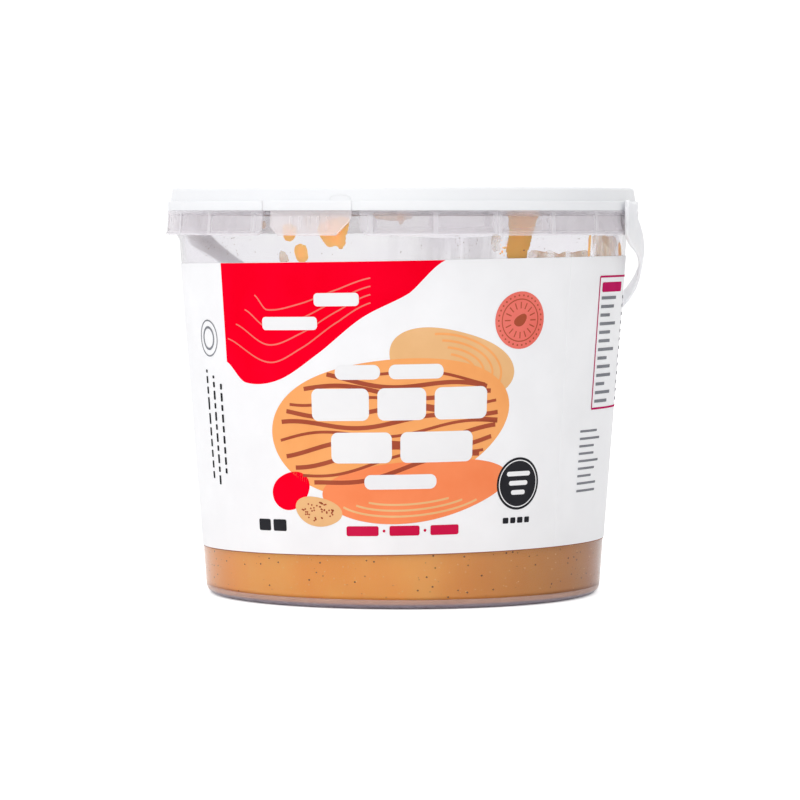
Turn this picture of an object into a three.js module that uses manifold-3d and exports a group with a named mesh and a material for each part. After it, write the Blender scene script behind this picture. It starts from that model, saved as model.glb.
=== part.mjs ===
// A large tub of peanut butter: a clear round tub, a white lid, a wrap label and a hinged strap handle.
// Millimetres, +Z up. The tub stands on z = 0 with its axis on Z, and the front of the label faces -Y.
// A bearing is an angle round the tub in degrees, 0 at the front and positive towards +X.
import * as THREE from 'three';
import { mergeVertices } from 'three/addons/utils/BufferGeometryUtils.js';
import Module from 'manifold-3d';

const wasm = await Module();
wasm.setup();

// Driving dimensions
const facets = 66; // flat faces round each turned piece
const baseRadius = 70.05; // the wall's outer face, carried down to z = 0
const wallTaper = 0.0761; // growth of the radius for each millimetre of height
const wallThickness = 1.1;
const floorTop = 2.4; // thickness of the floor at the foot
const floorCorner = 2.6; // round between floor and wall, inside
const footInset = 0.9; // the middle of the underside stands this far off the table
const footOuterCorner = 3.6;
const footRing = [57, 58.6]; // the underside's step, from its inner to its outer edge
const rimHeight = 142.0;
const rimRadius = 80.9;
const rimThickness = 1.7;
const rimBevel = 0.5;

const flangeUnderside = 134.4;
const flangeTop = 135.9;
const skirtBottom = 127.5;
const skirtTopRadius = 83.9;
const skirtBottomRadius = 84.5;
const skirtThickness = 1.1;
const ribCount = 24;
const ribWidth = 1.5;
const wideRibBearing = 22.5; // one rib is doubled
const wideRibWidth = 2.9;
const panelDepth = 0.65; // below the skirt's lower edge
const panelMargin = 1.0; // rib left along a panel's top and bottom edge

const tabBearings = [-34.8, -12.9]; // the tear tab in the skirt
const tabSlots = [
  [-37.6, -34.8],
  [-12.9, -10.6],
];
const tabChamfers = [3.2, 4.6]; // cut off the tab's lower corners, left and right
const tabBars = 5; // raised grip bars on the tab
const tabBarWidth = 1.1;
const tabBarSpacing = 3.4;
const tabBarHeight = 4.4;
const tabBarRelief = 0.4;

const lidTop = 144.0;
const lidTopRadius = 82.2;
const lidSideRadius = 82.8;
const lidBandRadius = 83.7;
const lidBandTop = 139.2;
const lidEdgeRound = 1.3;
const lidBandBevel = 0.4;
const lidPanelTop = 141.8; // the lid's middle, sunk below its stacking ring
const lidPanelRadius = 74.5;
const lidThickness = 1.4;
const lidPlugBevel = [0.6, 2];
const lidRingSlope = 2.0; // the stacking ring's inner side leans out by this
const fitGap = 0.35; // play between pieces that fit together

const fillLevel = 113.0;
const fillRipple = 0.5; // the top rises and falls by this between its rings
const fillRings = [73, 48, 24];
const fillCorner = 2.4;

const labelBottom = 19.1;
const labelTop = 119.1;
const labelThickness = 0.22;
const labelGap = 0.1;
const labelTilt = 1.0; // the label was put on a little askew, higher on its right

const pivotBearing = 69; // the right pivot, a little forward of +X
const pivotHeight = 133.0;
const handleDrop = 30; // the strap hangs this far below level, behind the tub
const handleSideRadius = 84.8; // inner face of the strap beside the pivots
const handleBackRadius = 91.2; // inner face of the strap at the far end of its loop
const strapThickness = 1.25;
const strapWidth = 6.8;
const earSides = [-6.0, 5.2]; // an ear stands upright while the strap hangs: front and back from the pivot
const earEnds = [-5.8, 5.9]; // its foot and top from the pivot
const earCorner = 1.3; // cut off each corner
const earNotch = 2.4; // its back edge meets the strap this far above the pivot
const earGusset = [
  [4, 8.2],
  [12, 6.2],
  [20, 4.3],
]; // below the ear the strap is wider: distance along it, and width under its middle line
const gussetEnd = 27;
const earSpan = 10; // all of an ear lies within this distance of its pivot
const pegRadius = 1.6;
const pegSides = 16;
const bossRadius = 3.2;
const bossFace = 84.2;
const boreDepth = 3.9;
const skirtCutRadius = 5.7;
const skirtBack = 81.9; // the cuts round the pivots and the tab reach in this far from the axis
const clearOf = 2; // how far a cutting shape runs on past the face that it cuts

// Colours and finishes
const clearPlastic = { color: 0xe9e4df, roughness: 0.12, metalness: 0, transparent: true, opacity: 0.45 };
const whitePlastic = { color: 0xf4f5f6, roughness: 0.38, metalness: 0 };
const milkyPlastic = { color: 0xe6e8ea, roughness: 0.4, metalness: 0 };
const printedPaper = { color: 0xc9693d, roughness: 0.5, metalness: 0 };
const peanutButter = { color: 0xd98f55, roughness: 0.45, metalness: 0 };

const radians = THREE.MathUtils.degToRad;
const wallRadius = (z) => baseRadius + wallTaper * z;
const innerRadius = (z) => wallRadius(z) - wallThickness;

// Points of a quarter round, from one bearing in the section to another.
function arcPoints(centre, radius, from, to, steps) {
  const points = [];
  for (let i = 0; i <= steps; i += 1) {
    const angle = radians(THREE.MathUtils.lerp(from, to, i / steps));
    points.push([centre[0] + radius * Math.cos(angle), centre[1] + radius * Math.sin(angle)]);
  }
  return points;
}

// A closed body whose points are shared, ready to be joined or cut.
function solid(geometry) {
  geometry.deleteAttribute('normal');
  geometry.deleteAttribute('uv');
  const merged = mergeVertices(geometry, 1e-4);
  return new wasm.Manifold(
    new wasm.Mesh({
      numProp: 3,
      vertProperties: merged.attributes.position.array,
      triVerts: new Uint32Array(merged.index.array),
    }),
  );
}

function sharedMesh(name, body, finish) {
  const { vertProperties, triVerts } = body.getMesh();
  const geometry = new THREE.BufferGeometry();
  geometry.setAttribute('position', new THREE.BufferAttribute(vertProperties, 3));
  geometry.setIndex(new THREE.BufferAttribute(triVerts, 1));
  geometry.computeVertexNormals();
  const mesh = new THREE.Mesh(geometry, new THREE.MeshStandardMaterial(finish));
  mesh.name = name;
  return mesh;
}

// A section of [radius, height] points turned round Z, from the underside outwards and up.
function turned(section) {
  const profile = section.map(([r, z]) => new THREE.Vector2(r, z));
  return solid(new THREE.LatheGeometry(profile, facets).rotateX(Math.PI / 2));
}

// A block that stands on the tub's side: its middle at a bearing, radius and height.
function blockAt(bearing, radius, height, width, depth, tall, roll = 0) {
  const box = new THREE.BoxGeometry(width, depth, tall);
  box.rotateY(radians(roll));
  box.translate(0, -radius, height);
  return solid(box.rotateZ(radians(bearing)));
}

// A round bar that lies along the radius at a bearing.
function barAt(bearing, from, to, height, radius, sides) {
  const bar = new THREE.CylinderGeometry(radius, radius, to - from, sides);
  bar.translate(0, -(from + to) / 2, height);
  return solid(bar.rotateZ(radians(bearing)));
}

// A curved block between two bearings, two radii and two heights.
function sector(bearings, radii, heights, steps) {
  const outline = new THREE.Shape();
  const [start, end] = bearings.map((bearing) => radians(bearing - 90));
  const corner = (radius, angle) => [radius * Math.cos(angle), radius * Math.sin(angle)];
  outline.moveTo(...corner(radii[0], start));
  outline.lineTo(...corner(radii[1], start));
  outline.absarc(0, 0, radii[1], start, end, false);
  outline.lineTo(...corner(radii[0], end));
  outline.absarc(0, 0, radii[0], end, start, true);
  const block = new THREE.ExtrudeGeometry(outline, {
    depth: heights[1] - heights[0],
    bevelEnabled: false,
    curveSegments: steps,
  });
  return solid(block.translate(0, 0, heights[0]));
}

// Tub: floor, wall, rim, flange and hanging skirt in one turned section.
function tubShell() {
  const footCentre = [wallRadius(footOuterCorner) - footOuterCorner, footOuterCorner];
  const floorCentre = [innerRadius(floorTop + floorCorner) - floorCorner, floorTop + floorCorner];
  return turned([
    [0, footInset],
    [footRing[0], footInset],
    [footRing[1], 0],
    ...arcPoints(footCentre, footOuterCorner, -90, 0, 4),
    [wallRadius(flangeUnderside), flangeUnderside],
    [skirtTopRadius - skirtThickness, flangeUnderside],
    [skirtBottomRadius - skirtThickness, skirtBottom],
    [skirtBottomRadius, skirtBottom],
    [skirtTopRadius, flangeTop],
    [rimRadius, flangeTop],
    [rimRadius, rimHeight - rimBevel],
    [rimRadius - rimBevel, rimHeight],
    [rimRadius - rimThickness + rimBevel, rimHeight],
    [rimRadius - rimThickness, rimHeight - rimBevel],
    [innerRadius(flangeUnderside), flangeUnderside],
    ...arcPoints(floorCentre, floorCorner, 0, -90, 3),
    [0, floorTop],
  ]);
}

// The skirt is a row of framed panels with a rib between each two.
function skirtPanels() {
  const step = 360 / ribCount;
  const bearingOf = (width) => THREE.MathUtils.radToDeg(width / skirtBottomRadius);
  const halfRib = (bearing) => {
    const wide = Math.abs(bearing - wideRibBearing) < step / 2;
    return bearingOf(wide ? wideRibWidth : ribWidth) / 2;
  };
  const heights = [skirtBottom + panelMargin, flangeTop - panelMargin];
  const radii = [skirtBottomRadius - panelDepth, skirtBottomRadius + clearOf];
  const panels = [];
  for (let i = 0; i < ribCount; i += 1) {
    const left = (i - ribCount / 2 - 0.5) * step;
    const right = left + step;
    const onTab = right > tabSlots[0][0] && left < tabSlots[1][1];
    if (!onTab) {
      const bearings = [left + halfRib(left), right - halfRib(right)];
      panels.push(sector(bearings, radii, heights, 4));
    }
  }
  return panels;
}

function tub() {
  let body = tubShell();
  const pivots = [pivotBearing, pivotBearing + 180];
  for (const panel of skirtPanels()) {
    body = body.subtract(panel);
  }
  const outside = skirtBottomRadius + clearOf;
  for (const slot of tabSlots) {
    body = body.subtract(sector(slot, [skirtBack, outside], [skirtBottom - clearOf, flangeTop + clearOf], 2));
  }
  tabBearings.forEach((bearing, side) => {
    const cut = tabChamfers[side] * Math.SQRT2;
    body = body.subtract(blockAt(bearing, skirtBottomRadius, skirtBottom, cut, 2 * clearOf, cut, 45));
  });
  const tabMiddle = (tabBearings[0] + tabBearings[1]) / 2;
  const barStep = THREE.MathUtils.radToDeg(tabBarSpacing / skirtBottomRadius);
  const tabMiddleHeight = (skirtBottom + flangeTop) / 2;
  for (let i = 0; i < tabBars; i += 1) {
    const bearing = tabMiddle + (i - (tabBars - 1) / 2) * barStep;
    const middle = (skirtTopRadius + skirtBottomRadius) / 2;
    body = body.add(blockAt(bearing, middle, tabMiddleHeight, tabBarWidth, 2 * tabBarRelief, tabBarHeight));
  }
  for (const pivot of pivots) {
    const nearby = [pivot - 8, pivot + 8];
    const below = (top) => sector(nearby, [baseRadius, outside], [skirtBottom - bossRadius, top], 4);
    const cut = barAt(pivot, skirtBack, outside, pivotHeight, skirtCutRadius, 24);
    const bossRoot = wallRadius(pivotHeight) - wallThickness / 2;
    const boss = barAt(pivot, bossRoot, bossFace, pivotHeight, bossRadius, 20);
    const bore = barAt(pivot, bossFace - boreDepth, outside, pivotHeight, pegRadius + fitGap, pegSides);
    body = body.subtract(cut.intersect(below(flangeUnderside)));
    body = body.add(boss.intersect(below(flangeTop)));
    body = body.subtract(bore);
  }
  return sharedMesh('tub', body, clearPlastic);
}

// Lid: sunk panel, stacking ring, outer band that sits on the flange, and a plug ring inside the rim.
function lid() {
  const edgeCentre = [lidTopRadius - lidEdgeRound, lidTop - lidEdgeRound];
  const plugOuter = rimRadius - rimThickness - fitGap;
  const plugInner = plugOuter - lidThickness;
  const bandBottom = flangeTop + fitGap;
  const grooveTop = rimHeight + fitGap;
  const grooveOuter = rimRadius + fitGap;
  let body = turned([
    [0, lidPanelTop - lidThickness],
    [plugInner, lidPanelTop - lidThickness],
    [plugInner, flangeUnderside],
    [plugOuter - lidPlugBevel[0], flangeUnderside],
    [plugOuter, flangeUnderside + lidPlugBevel[1]],
    [plugOuter, grooveTop],
    [grooveOuter, grooveTop],
    [grooveOuter, bandBottom],
    [lidBandRadius, bandBottom],
    [lidBandRadius, lidBandTop - lidBandBevel],
    [lidBandRadius - lidBandBevel, lidBandTop],
    [lidSideRadius, lidBandTop],
    ...arcPoints(edgeCentre, lidEdgeRound, 0, 90, 3),
    [lidPanelRadius + lidRingSlope, lidTop],
    [lidPanelRadius, lidPanelTop],
    [0, lidPanelTop],
  ]);
  for (const slot of tabSlots) {
    const radii = [lidSideRadius - lidBandBevel, lidBandRadius + clearOf];
    body = body.subtract(sector(slot, radii, [bandBottom - clearOf, lidBandTop], 2));
  }
  return sharedMesh('lid', body, whitePlastic);
}

// Filling: solid up to its level, with a slightly wavy top.
function filling() {
  const bottom = floorTop + fitGap;
  const fillRadius = (z) => innerRadius(z) - fitGap;
  const cornerCentre = [fillRadius(bottom + fillCorner) - fillCorner, bottom + fillCorner];
  const body = turned([
    [0, bottom],
    ...arcPoints(cornerCentre, fillCorner, -90, 0, 3),
    [fillRadius(fillLevel), fillLevel],
    ...fillRings.map((radius, i) => [radius, fillLevel + (i % 2 ? fillRipple : -fillRipple)]),
    [0, fillLevel + fillRipple],
  ]);
  return sharedMesh('peanut_butter', body, peanutButter);
}

// Label: a thin band round the wall, trimmed level with its own slightly tilted edges.
function label() {
  const faceRadius = (z, lift) => wallRadius(z) + labelGap + lift;
  const low = labelBottom - 2 * clearOf;
  const high = labelTop + 2 * clearOf;
  const band = turned([
    [faceRadius(low, 0), low],
    [faceRadius(low, labelThickness), low],
    [faceRadius(high, labelThickness), high],
    [faceRadius(high, 0), high],
    [faceRadius(low, 0), low],
  ]);
  const across = 3 * baseRadius;
  const slab = new THREE.BoxGeometry(across, across, labelTop - labelBottom);
  slab.rotateY(-radians(labelTilt));
  slab.translate(0, 0, (labelTop + labelBottom) / 2);
  return sharedMesh('label', band.intersect(solid(slab)), printedPaper);
}

// Handle: a strap in a loop, with a wider ear and an inward peg at each end.
// It is drawn flat, with the pivot axis on X and the loop towards +Y, then hung behind the tub.
function strapLoop() {
  const outline = new THREE.Shape();
  const outer = [handleSideRadius + strapThickness, handleBackRadius + strapThickness];
  const end = -earSpan;
  outline.moveTo(outer[0], end);
  outline.lineTo(outer[0], 0);
  outline.absellipse(0, 0, outer[0], outer[1], 0, Math.PI, false, 0);
  outline.lineTo(-outer[0], end);
  outline.lineTo(-handleSideRadius, end);
  outline.lineTo(-handleSideRadius, 0);
  outline.absellipse(0, 0, handleSideRadius, handleBackRadius, Math.PI, 0, true, 0);
  outline.lineTo(handleSideRadius, end);
  const depth = 2 * earSpan;
  const loop = new THREE.ExtrudeGeometry(outline, { depth, bevelEnabled: false, curveSegments: 40 });
  return solid(loop.translate(0, 0, -depth / 2));
}

// The strap seen along the pivot axis: upright ears with cut corners, which widen into the strap below.
function strapSide() {
  const half = strapWidth / 2;
  const reach = handleBackRadius + strapThickness + clearOf;
  const across = 3 * handleSideRadius;
  const [front, back] = earSides;
  const [foot, top] = earEnds;
  const upright = [
    [back, earNotch],
    [back, top - earCorner],
    [back - earCorner, top],
    [front + earCorner, top],
    [front, top - earCorner],
    [front, foot + earCorner],
    [front + earCorner, foot],
  ];
  const drop = radians(handleDrop);
  const outline = new THREE.Shape();
  outline.moveTo(reach, -half);
  outline.lineTo(reach, half);
  outline.lineTo(earSpan, half);
  for (const [level, height] of upright) {
    const along = level * Math.cos(drop) - height * Math.sin(drop);
    outline.lineTo(along, level * Math.sin(drop) + height * Math.cos(drop));
  }
  for (const [along, width] of earGusset) {
    outline.lineTo(along, -width);
  }
  outline.lineTo(gussetEnd, -half);
  const side = new THREE.ExtrudeGeometry(outline, { depth: across, bevelEnabled: false });
  side.translate(0, 0, -across / 2);
  // The outline's x runs along +Y, its y along +Z, and it is drawn out along X.
  const turn = new THREE.Matrix4();
  turn.makeBasis(new THREE.Vector3(0, 1, 0), new THREE.Vector3(0, 0, 1), new THREE.Vector3(1, 0, 0));
  return solid(side.applyMatrix4(turn));
}

function handle() {
  let body = strapLoop().intersect(strapSide());
  for (const end of [90, 270]) {
    const pegTip = bossFace - boreDepth + fitGap;
    body = body.add(barAt(end, pegTip, handleSideRadius + strapThickness / 2, 0, pegRadius, pegSides));
  }
  const mesh = sharedMesh('handle', body, milkyPlastic);
  mesh.rotation.x = -radians(handleDrop);
  const hung = new THREE.Group();
  hung.position.z = pivotHeight;
  hung.rotation.z = radians(pivotBearing - 90);
  hung.add(mesh);
  return hung;
}

const jar = new THREE.Group();
jar.name = 'peanut_butter_tub';
jar.add(tub(), lid(), filling(), label(), handle());

export default jar;
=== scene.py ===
# A two kilogram tub of peanut butter: clear tub, white lid, wrap label and strap handle.
# Lengths are millimetres and angles are degrees; a mesh is scaled to metres when it is made.
# A bearing is an angle round the tub, 0 at the front of the label and positive to the right.
import math
import random

import bmesh
import bpy
from mathutils import Matrix, Vector


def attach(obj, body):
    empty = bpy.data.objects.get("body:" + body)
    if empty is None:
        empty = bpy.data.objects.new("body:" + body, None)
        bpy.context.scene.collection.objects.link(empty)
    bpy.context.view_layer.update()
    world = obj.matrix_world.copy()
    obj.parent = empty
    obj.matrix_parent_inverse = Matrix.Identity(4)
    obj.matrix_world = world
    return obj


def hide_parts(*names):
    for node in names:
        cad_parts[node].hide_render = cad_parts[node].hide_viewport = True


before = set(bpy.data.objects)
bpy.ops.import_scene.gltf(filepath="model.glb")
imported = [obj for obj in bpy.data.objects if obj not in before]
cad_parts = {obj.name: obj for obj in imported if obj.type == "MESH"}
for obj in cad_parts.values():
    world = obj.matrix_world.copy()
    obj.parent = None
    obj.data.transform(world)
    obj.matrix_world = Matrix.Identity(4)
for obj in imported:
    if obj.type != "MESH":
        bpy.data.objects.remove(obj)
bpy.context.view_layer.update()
scene = bpy.context.scene
chance = random.Random(7)
metres = 0.001    # one millimetre

view = {
    "place": (-1.07, -1412.0, 134.0),
    "pitch": 2.66,       # looking down
    "focalPixels": 3955.0,
    "middlePixel": 400.0,
    "frameWidth": 800.0,
    "sensorWidth": 36,
}

# camera

camera = bpy.data.objects.new("camera", bpy.data.cameras.new("camera"))
scene.collection.objects.link(camera)
camera.location = Vector(view["place"]) * metres
camera.rotation_euler = (math.radians(90 - view["pitch"]), 0, 0)
camera.data.sensor_width = view["sensorWidth"]
camera.data.lens = view["sensorWidth"] * view["focalPixels"] / view["frameWidth"]
camera.data.clip_start = 0.05
camera.data.clip_end = 50
scene.camera = camera
print("camera is set")


# making meshes

def onTub(bearing, radius, height):
    angle = math.radians(bearing)
    return (radius * math.sin(angle), -radius * math.cos(angle), height)


def makeMesh(name, points, faces, material, sharp=32, place=None):
    mesh = bpy.data.meshes.new(name)
    mesh.from_pydata([Vector(p) * metres for p in points], [], faces)
    if place:
        mesh.transform(place)
    work = bmesh.new()
    work.from_mesh(mesh)
    bmesh.ops.remove_doubles(work, verts=work.verts, dist=1e-7)
    bmesh.ops.dissolve_degenerate(work, edges=work.edges, dist=1e-8)
    bmesh.ops.recalc_face_normals(work, faces=work.faces)
    work.to_mesh(mesh)
    work.free()
    mesh.shade_smooth()
    mesh.set_sharp_from_angle(angle=math.radians(sharp))
    mesh.materials.append(material)
    piece = bpy.data.objects.new(name, mesh)
    scene.collection.objects.link(piece)
    return piece


# joins lists of (points, faces) into one
def together(*parts):
    points, faces = [], []
    for partPoints, partFaces in parts:
        start = len(points)
        points += partPoints
        faces += [tuple(i + start for i in face) for face in partFaces]
    return points, faces


# the faces between loops of the same size that follow one another
def skin(count, size, closed=True, capped=True):
    faces = []
    for i in range(count if closed else count - 1):
        here, there = i * size, (i + 1) % count * size
        for j in range(size):
            k = (j + 1) % size
            faces.append((here + j, there + j, there + k, here + k))
    if capped and not closed:
        faces += [tuple(range(size)), tuple(range((count - 1) * size, count * size))]
    return faces


# a closed section of (radius, height) points carried round the tub, one section for each bearing;
# a third number in a point shifts its bearing
def sweepRound(bearings, sectionAt, closed=True):
    points = []
    for bearing in bearings:
        section = sectionAt(bearing)
        for radius, height, *shift in section:
            points.append(onTub(bearing + sum(shift), radius, height))
    return points, skin(len(bearings), len(section), closed)


def allRound(count):
    return [360 * i / count for i in range(count)]


def quarter(middle, radius, start, end, steps):
    angles = [math.radians(start + (end - start) * i / steps) for i in range(steps + 1)]
    return [(middle[0] + radius * math.cos(a), middle[1] + radius * math.sin(a)) for a in angles]


def turned(spot, angle):
    x, y = spot
    return x * math.cos(angle) - y * math.sin(angle), x * math.sin(angle) + y * math.cos(angle)


def ease(value):
    value = min(1, max(0, value))
    return value * value * (3 - 2 * value)


# the height at a share of the way between b and c, on a smooth curve through a, b, c and d
def curveAt(a, b, c, d, t):
    square = 2 * a - 5 * b + 4 * c - d
    cube = 3 * b - a - 3 * c + d
    return 0.5 * (2 * b + (c - a) * t + square * t * t + cube * t ** 3)


# a ring about a line that points out from the tub's axis
def radialRing(bearing, height, section, sides):
    points = []
    along = math.radians(bearing)
    for i in range(sides):
        turn = math.radians(360 * i / sides)
        for reach, radius in section:
            x, y, z = onTub(bearing, reach, height + radius * math.sin(turn))
            aside = radius * math.cos(turn)
            points.append((x + aside * math.cos(along), y + aside * math.sin(along), z))
    return points, skin(sides, len(section))


# where the line of sight through a pixel of the photo meets the front of the tub
def seenOnTub(pixel, radiusAt):
    pitch = math.radians(view["pitch"])
    right = (pixel[0] - view["middlePixel"]) / view["focalPixels"]
    up = (view["middlePixel"] - pixel[1]) / view["focalPixels"]
    ahead = Vector((0, math.cos(pitch), -math.sin(pitch)))
    above = Vector((0, math.sin(pitch), math.cos(pitch)))
    sight = ahead + Vector((right, 0, 0)) + above * up
    start = Vector(view["place"])
    height = 100.0    # a first guess, made better by each round
    for _ in range(5):
        a = sight.x ** 2 + sight.y ** 2
        b = 2 * (start.x * sight.x + start.y * sight.y)
        c = start.x ** 2 + start.y ** 2 - radiusAt(height) ** 2
        distance = (-b - math.sqrt(max(0, b * b - 4 * a * c))) / (2 * a)
        spot = start + sight * distance
        height = spot.z
    return math.degrees(math.atan2(spot.x, -spot.y)), height


# making materials

def paint(red, green, blue):
    def straight(value):
        value /= 255
        return value / 12.92 if value <= 0.04045 else ((value + 0.055) / 1.055) ** 2.4
    return (straight(red), straight(green), straight(blue), 1)


class Finish:
    def __init__(self, name):
        self.material = bpy.data.materials.new(name)
        self.material.use_nodes = True
        self.tree = self.material.node_tree
        self.shader = self.tree.nodes["Principled BSDF"]
        self.coords = self.tree.nodes.new("ShaderNodeTexCoord")

    def set(self, **values):
        for name, value in values.items():
            self.shader.inputs[name.replace("_", " ")].default_value = value

    def link(self, output, socket):
        self.tree.links.new(output, socket)

    def feed(self, source, name):
        self.link(source, self.shader.inputs[name])

    def stretched(self, stretch):
        mapping = self.tree.nodes.new("ShaderNodeMapping")
        mapping.inputs["Scale"].default_value = stretch
        self.link(self.coords.outputs["Object"], mapping.inputs["Vector"])
        return mapping.outputs["Vector"]

    def noise(self, scale, detail=3.0, stretch=(1, 1, 1)):
        node = self.tree.nodes.new("ShaderNodeTexNoise")
        node.inputs["Scale"].default_value = scale
        node.inputs["Detail"].default_value = detail
        self.link(self.stretched(stretch), node.inputs["Vector"])
        return node.outputs["Fac"]

    # small spots round the middles of cells: white inside the first distance, black outside the second
    def specks(self, scale, inside, outside, stretch=(1, 1, 1)):
        node = self.tree.nodes.new("ShaderNodeTexVoronoi")
        node.inputs["Scale"].default_value = scale
        self.link(self.stretched(stretch), node.inputs["Vector"])
        return self.ramp(node.outputs["Distance"], (inside, (1, 1, 1, 1)), (outside, (0, 0, 0, 1)))

    def ramp(self, source, *stops):
        node = self.tree.nodes.new("ShaderNodeValToRGB")
        node.color_ramp.elements[0].position, node.color_ramp.elements[0].color = stops[0]
        node.color_ramp.elements[1].position, node.color_ramp.elements[1].color = stops[-1]
        for position, color in stops[1:-1]:
            node.color_ramp.elements.new(position).color = color
        self.link(source, node.inputs["Fac"])
        return node.outputs["Color"]

    def tones(self, source, dark, light, start=0.3, end=0.7):
        return self.ramp(source, (start, paint(*dark)), (end, paint(*light)))

    def between(self, source, low, high, start=0.3, end=0.7):
        node = self.tree.nodes.new("ShaderNodeMapRange")
        node.inputs["From Min"].default_value = start
        node.inputs["From Max"].default_value = end
        node.inputs["To Min"].default_value = low
        node.inputs["To Max"].default_value = high
        self.link(source, node.inputs["Value"])
        return node.outputs["Result"]

    def mix(self, factor, first, second, blend="MIX"):
        node = self.tree.nodes.new("ShaderNodeMix")
        node.data_type = "RGBA"
        node.blend_type = blend
        for value, socket in ((factor, node.inputs[0]), (first, node.inputs[6]), (second, node.inputs[7])):
            if hasattr(value, "links"):
                self.link(value, socket)
            else:
                socket.default_value = value
        return node.outputs[2]

    # a colour made darker by a tone, where the factor is high
    def darkened(self, factor, color, tone):
        return self.mix(factor, color, self.mix(1.0, color, paint(*tone), "MULTIPLY"))

    def calculate(self, operation, *sources):
        node = self.tree.nodes.new("ShaderNodeMath")
        node.operation = operation
        node.use_clamp = True
        for value, socket in zip(sources, node.inputs):
            if hasattr(value, "links"):
                self.link(value, socket)
            else:
                socket.default_value = value
        return node.outputs["Value"]

    # how far to the right (X) or up (Z) a spot lies, in metres
    def place(self, axis):
        split = self.tree.nodes.new("ShaderNodeSeparateXYZ")
        self.link(self.coords.outputs["Object"], split.inputs["Vector"])
        return split.outputs[axis]

    # 0 where the surface is seen face on, 1 where it is seen edge on
    def edgeOn(self):
        node = self.tree.nodes.new("ShaderNodeLayerWeight")
        node.inputs["Blend"].default_value = 0.35
        return node.outputs["Facing"]

    # depth is in millimetres
    def bump(self, source, strength, depth):
        node = self.tree.nodes.new("ShaderNodeBump")
        node.inputs["Strength"].default_value = strength
        node.inputs["Distance"].default_value = depth * metres
        self.link(source, node.inputs["Height"])
        self.feed(node.outputs["Normal"], "Normal")


clearLook = {
    "tones": ((252, 251, 253), (255, 255, 255)),
    "roughness": (0.03, 0.07),
    "ripple": {"strength": 0.06, "depth": 0.2},
    "tint": (206, 198, 214),      # what the light takes on in a thick stretch
    "density": 75,
}


def clearPlastic():
    finish = Finish("clearWall")
    finish.set(IOR=1.2, Transmission_Weight=1.0, Coat_Weight=0.3, Coat_IOR=1.49, Coat_Roughness=0.06)
    haze = finish.noise(scale=45, detail=4)
    finish.feed(finish.tones(haze, *clearLook["tones"], start=0.35, end=0.65), "Base Color")
    finish.feed(finish.between(haze, *clearLook["roughness"]), "Roughness")
    finish.bump(finish.noise(scale=70, detail=2, stretch=(1, 1, 0.35)), **clearLook["ripple"])
    absorb = finish.tree.nodes.new("ShaderNodeVolumeAbsorption")
    absorb.inputs["Color"].default_value = paint(*clearLook["tint"])
    absorb.inputs["Density"].default_value = clearLook["density"]
    finish.link(absorb.outputs["Volume"], finish.tree.nodes["Material Output"].inputs["Volume"])
    return finish.material


# thin frosted plastic is a pale veil; heights are metres above the table
frostedLooks = {
    "frostedSkirt": {
        "tones": ((226, 221, 228), (237, 232, 238)),
        "veil": (0.2, 0.7),           # seen face on and edge on
        "frameTone": (242, 240, 245),
        "frameVeil": 0.1,             # what a raised frame adds to the veil
    },
    "frostedTab": {
        "tones": ((238, 231, 234), (247, 242, 245)),
        "veil": (0.42, 0.85),
    },
    "frostedFootShade": {
        # grey tones: the dense plastic of the foot, with painted shade on its underside
        "tones": ((182, 170, 184), (200, 187, 200)),
        "veil": (0.5, 0.82),          # above and below the veil's heights
        "veilHeights": (0.0012, 0.0034),
        "upperTone": (250, 206, 186),
        "toneHeights": (0.0014, 0.0021),
    },
}


def frostedPlastic(name):
    look = frostedLooks[name]
    least, most = look["veil"]
    finish = Finish(name)
    finish.set(IOR=1.49, Subsurface_Weight=0.2, Subsurface_Scale=0.002, Subsurface_Radius=(1, 1, 1))
    color = finish.tones(finish.noise(scale=38, detail=4, stretch=(1, 1, 0.6)), *look["tones"])
    finish.feed(finish.between(finish.noise(scale=160, detail=4), low=0.22, high=0.36), "Roughness")
    finish.bump(finish.noise(scale=240, detail=3), strength=0.12, depth=0.12)
    if "veilHeights" in look:
        height = finish.place("Z")
        veil = finish.between(height, most, least, *look["veilHeights"])
        upper = finish.between(height, 0, 1, *look["toneHeights"])
        color = finish.mix(upper, color, paint(*look["upperTone"]))
    else:
        veil = finish.between(finish.edgeOn(), least, most, start=0.1, end=0.85)
    if "frameTone" in look:
        raised = finish.tree.nodes.new("ShaderNodeAttribute")
        raised.attribute_name = "frameShare"
        share = finish.between(raised.outputs["Fac"], low=0, high=0.6, start=0, end=1)
        color = finish.mix(share, color, paint(*look["frameTone"]))
        veil = finish.calculate("MULTIPLY_ADD", raised.outputs["Fac"], look["frameVeil"], veil)
    finish.feed(color, "Base Color")
    finish.feed(veil, "Alpha")
    return finish.material


lidLook = {"tones": ((231, 232, 235), (236, 237, 239)), "roughness": (0.32, 0.44)}


def whitePlastic():
    finish = Finish("lidWhite")
    finish.set(IOR=1.49, Subsurface_Weight=0.12, Subsurface_Scale=0.002, Subsurface_Radius=(1, 0.95, 0.9))
    finish.feed(finish.tones(finish.noise(scale=30, detail=3), *lidLook["tones"]), "Base Color")
    finish.feed(finish.between(finish.noise(scale=220, detail=4), *lidLook["roughness"]), "Roughness")
    finish.bump(finish.noise(scale=900, detail=3), strength=0.08, depth=0.08)
    return finish.material


strapLook = {"tones": ((228, 229, 233), (238, 238, 241)), "roughness": (0.3, 0.45), "glow": 0.085}


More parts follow.
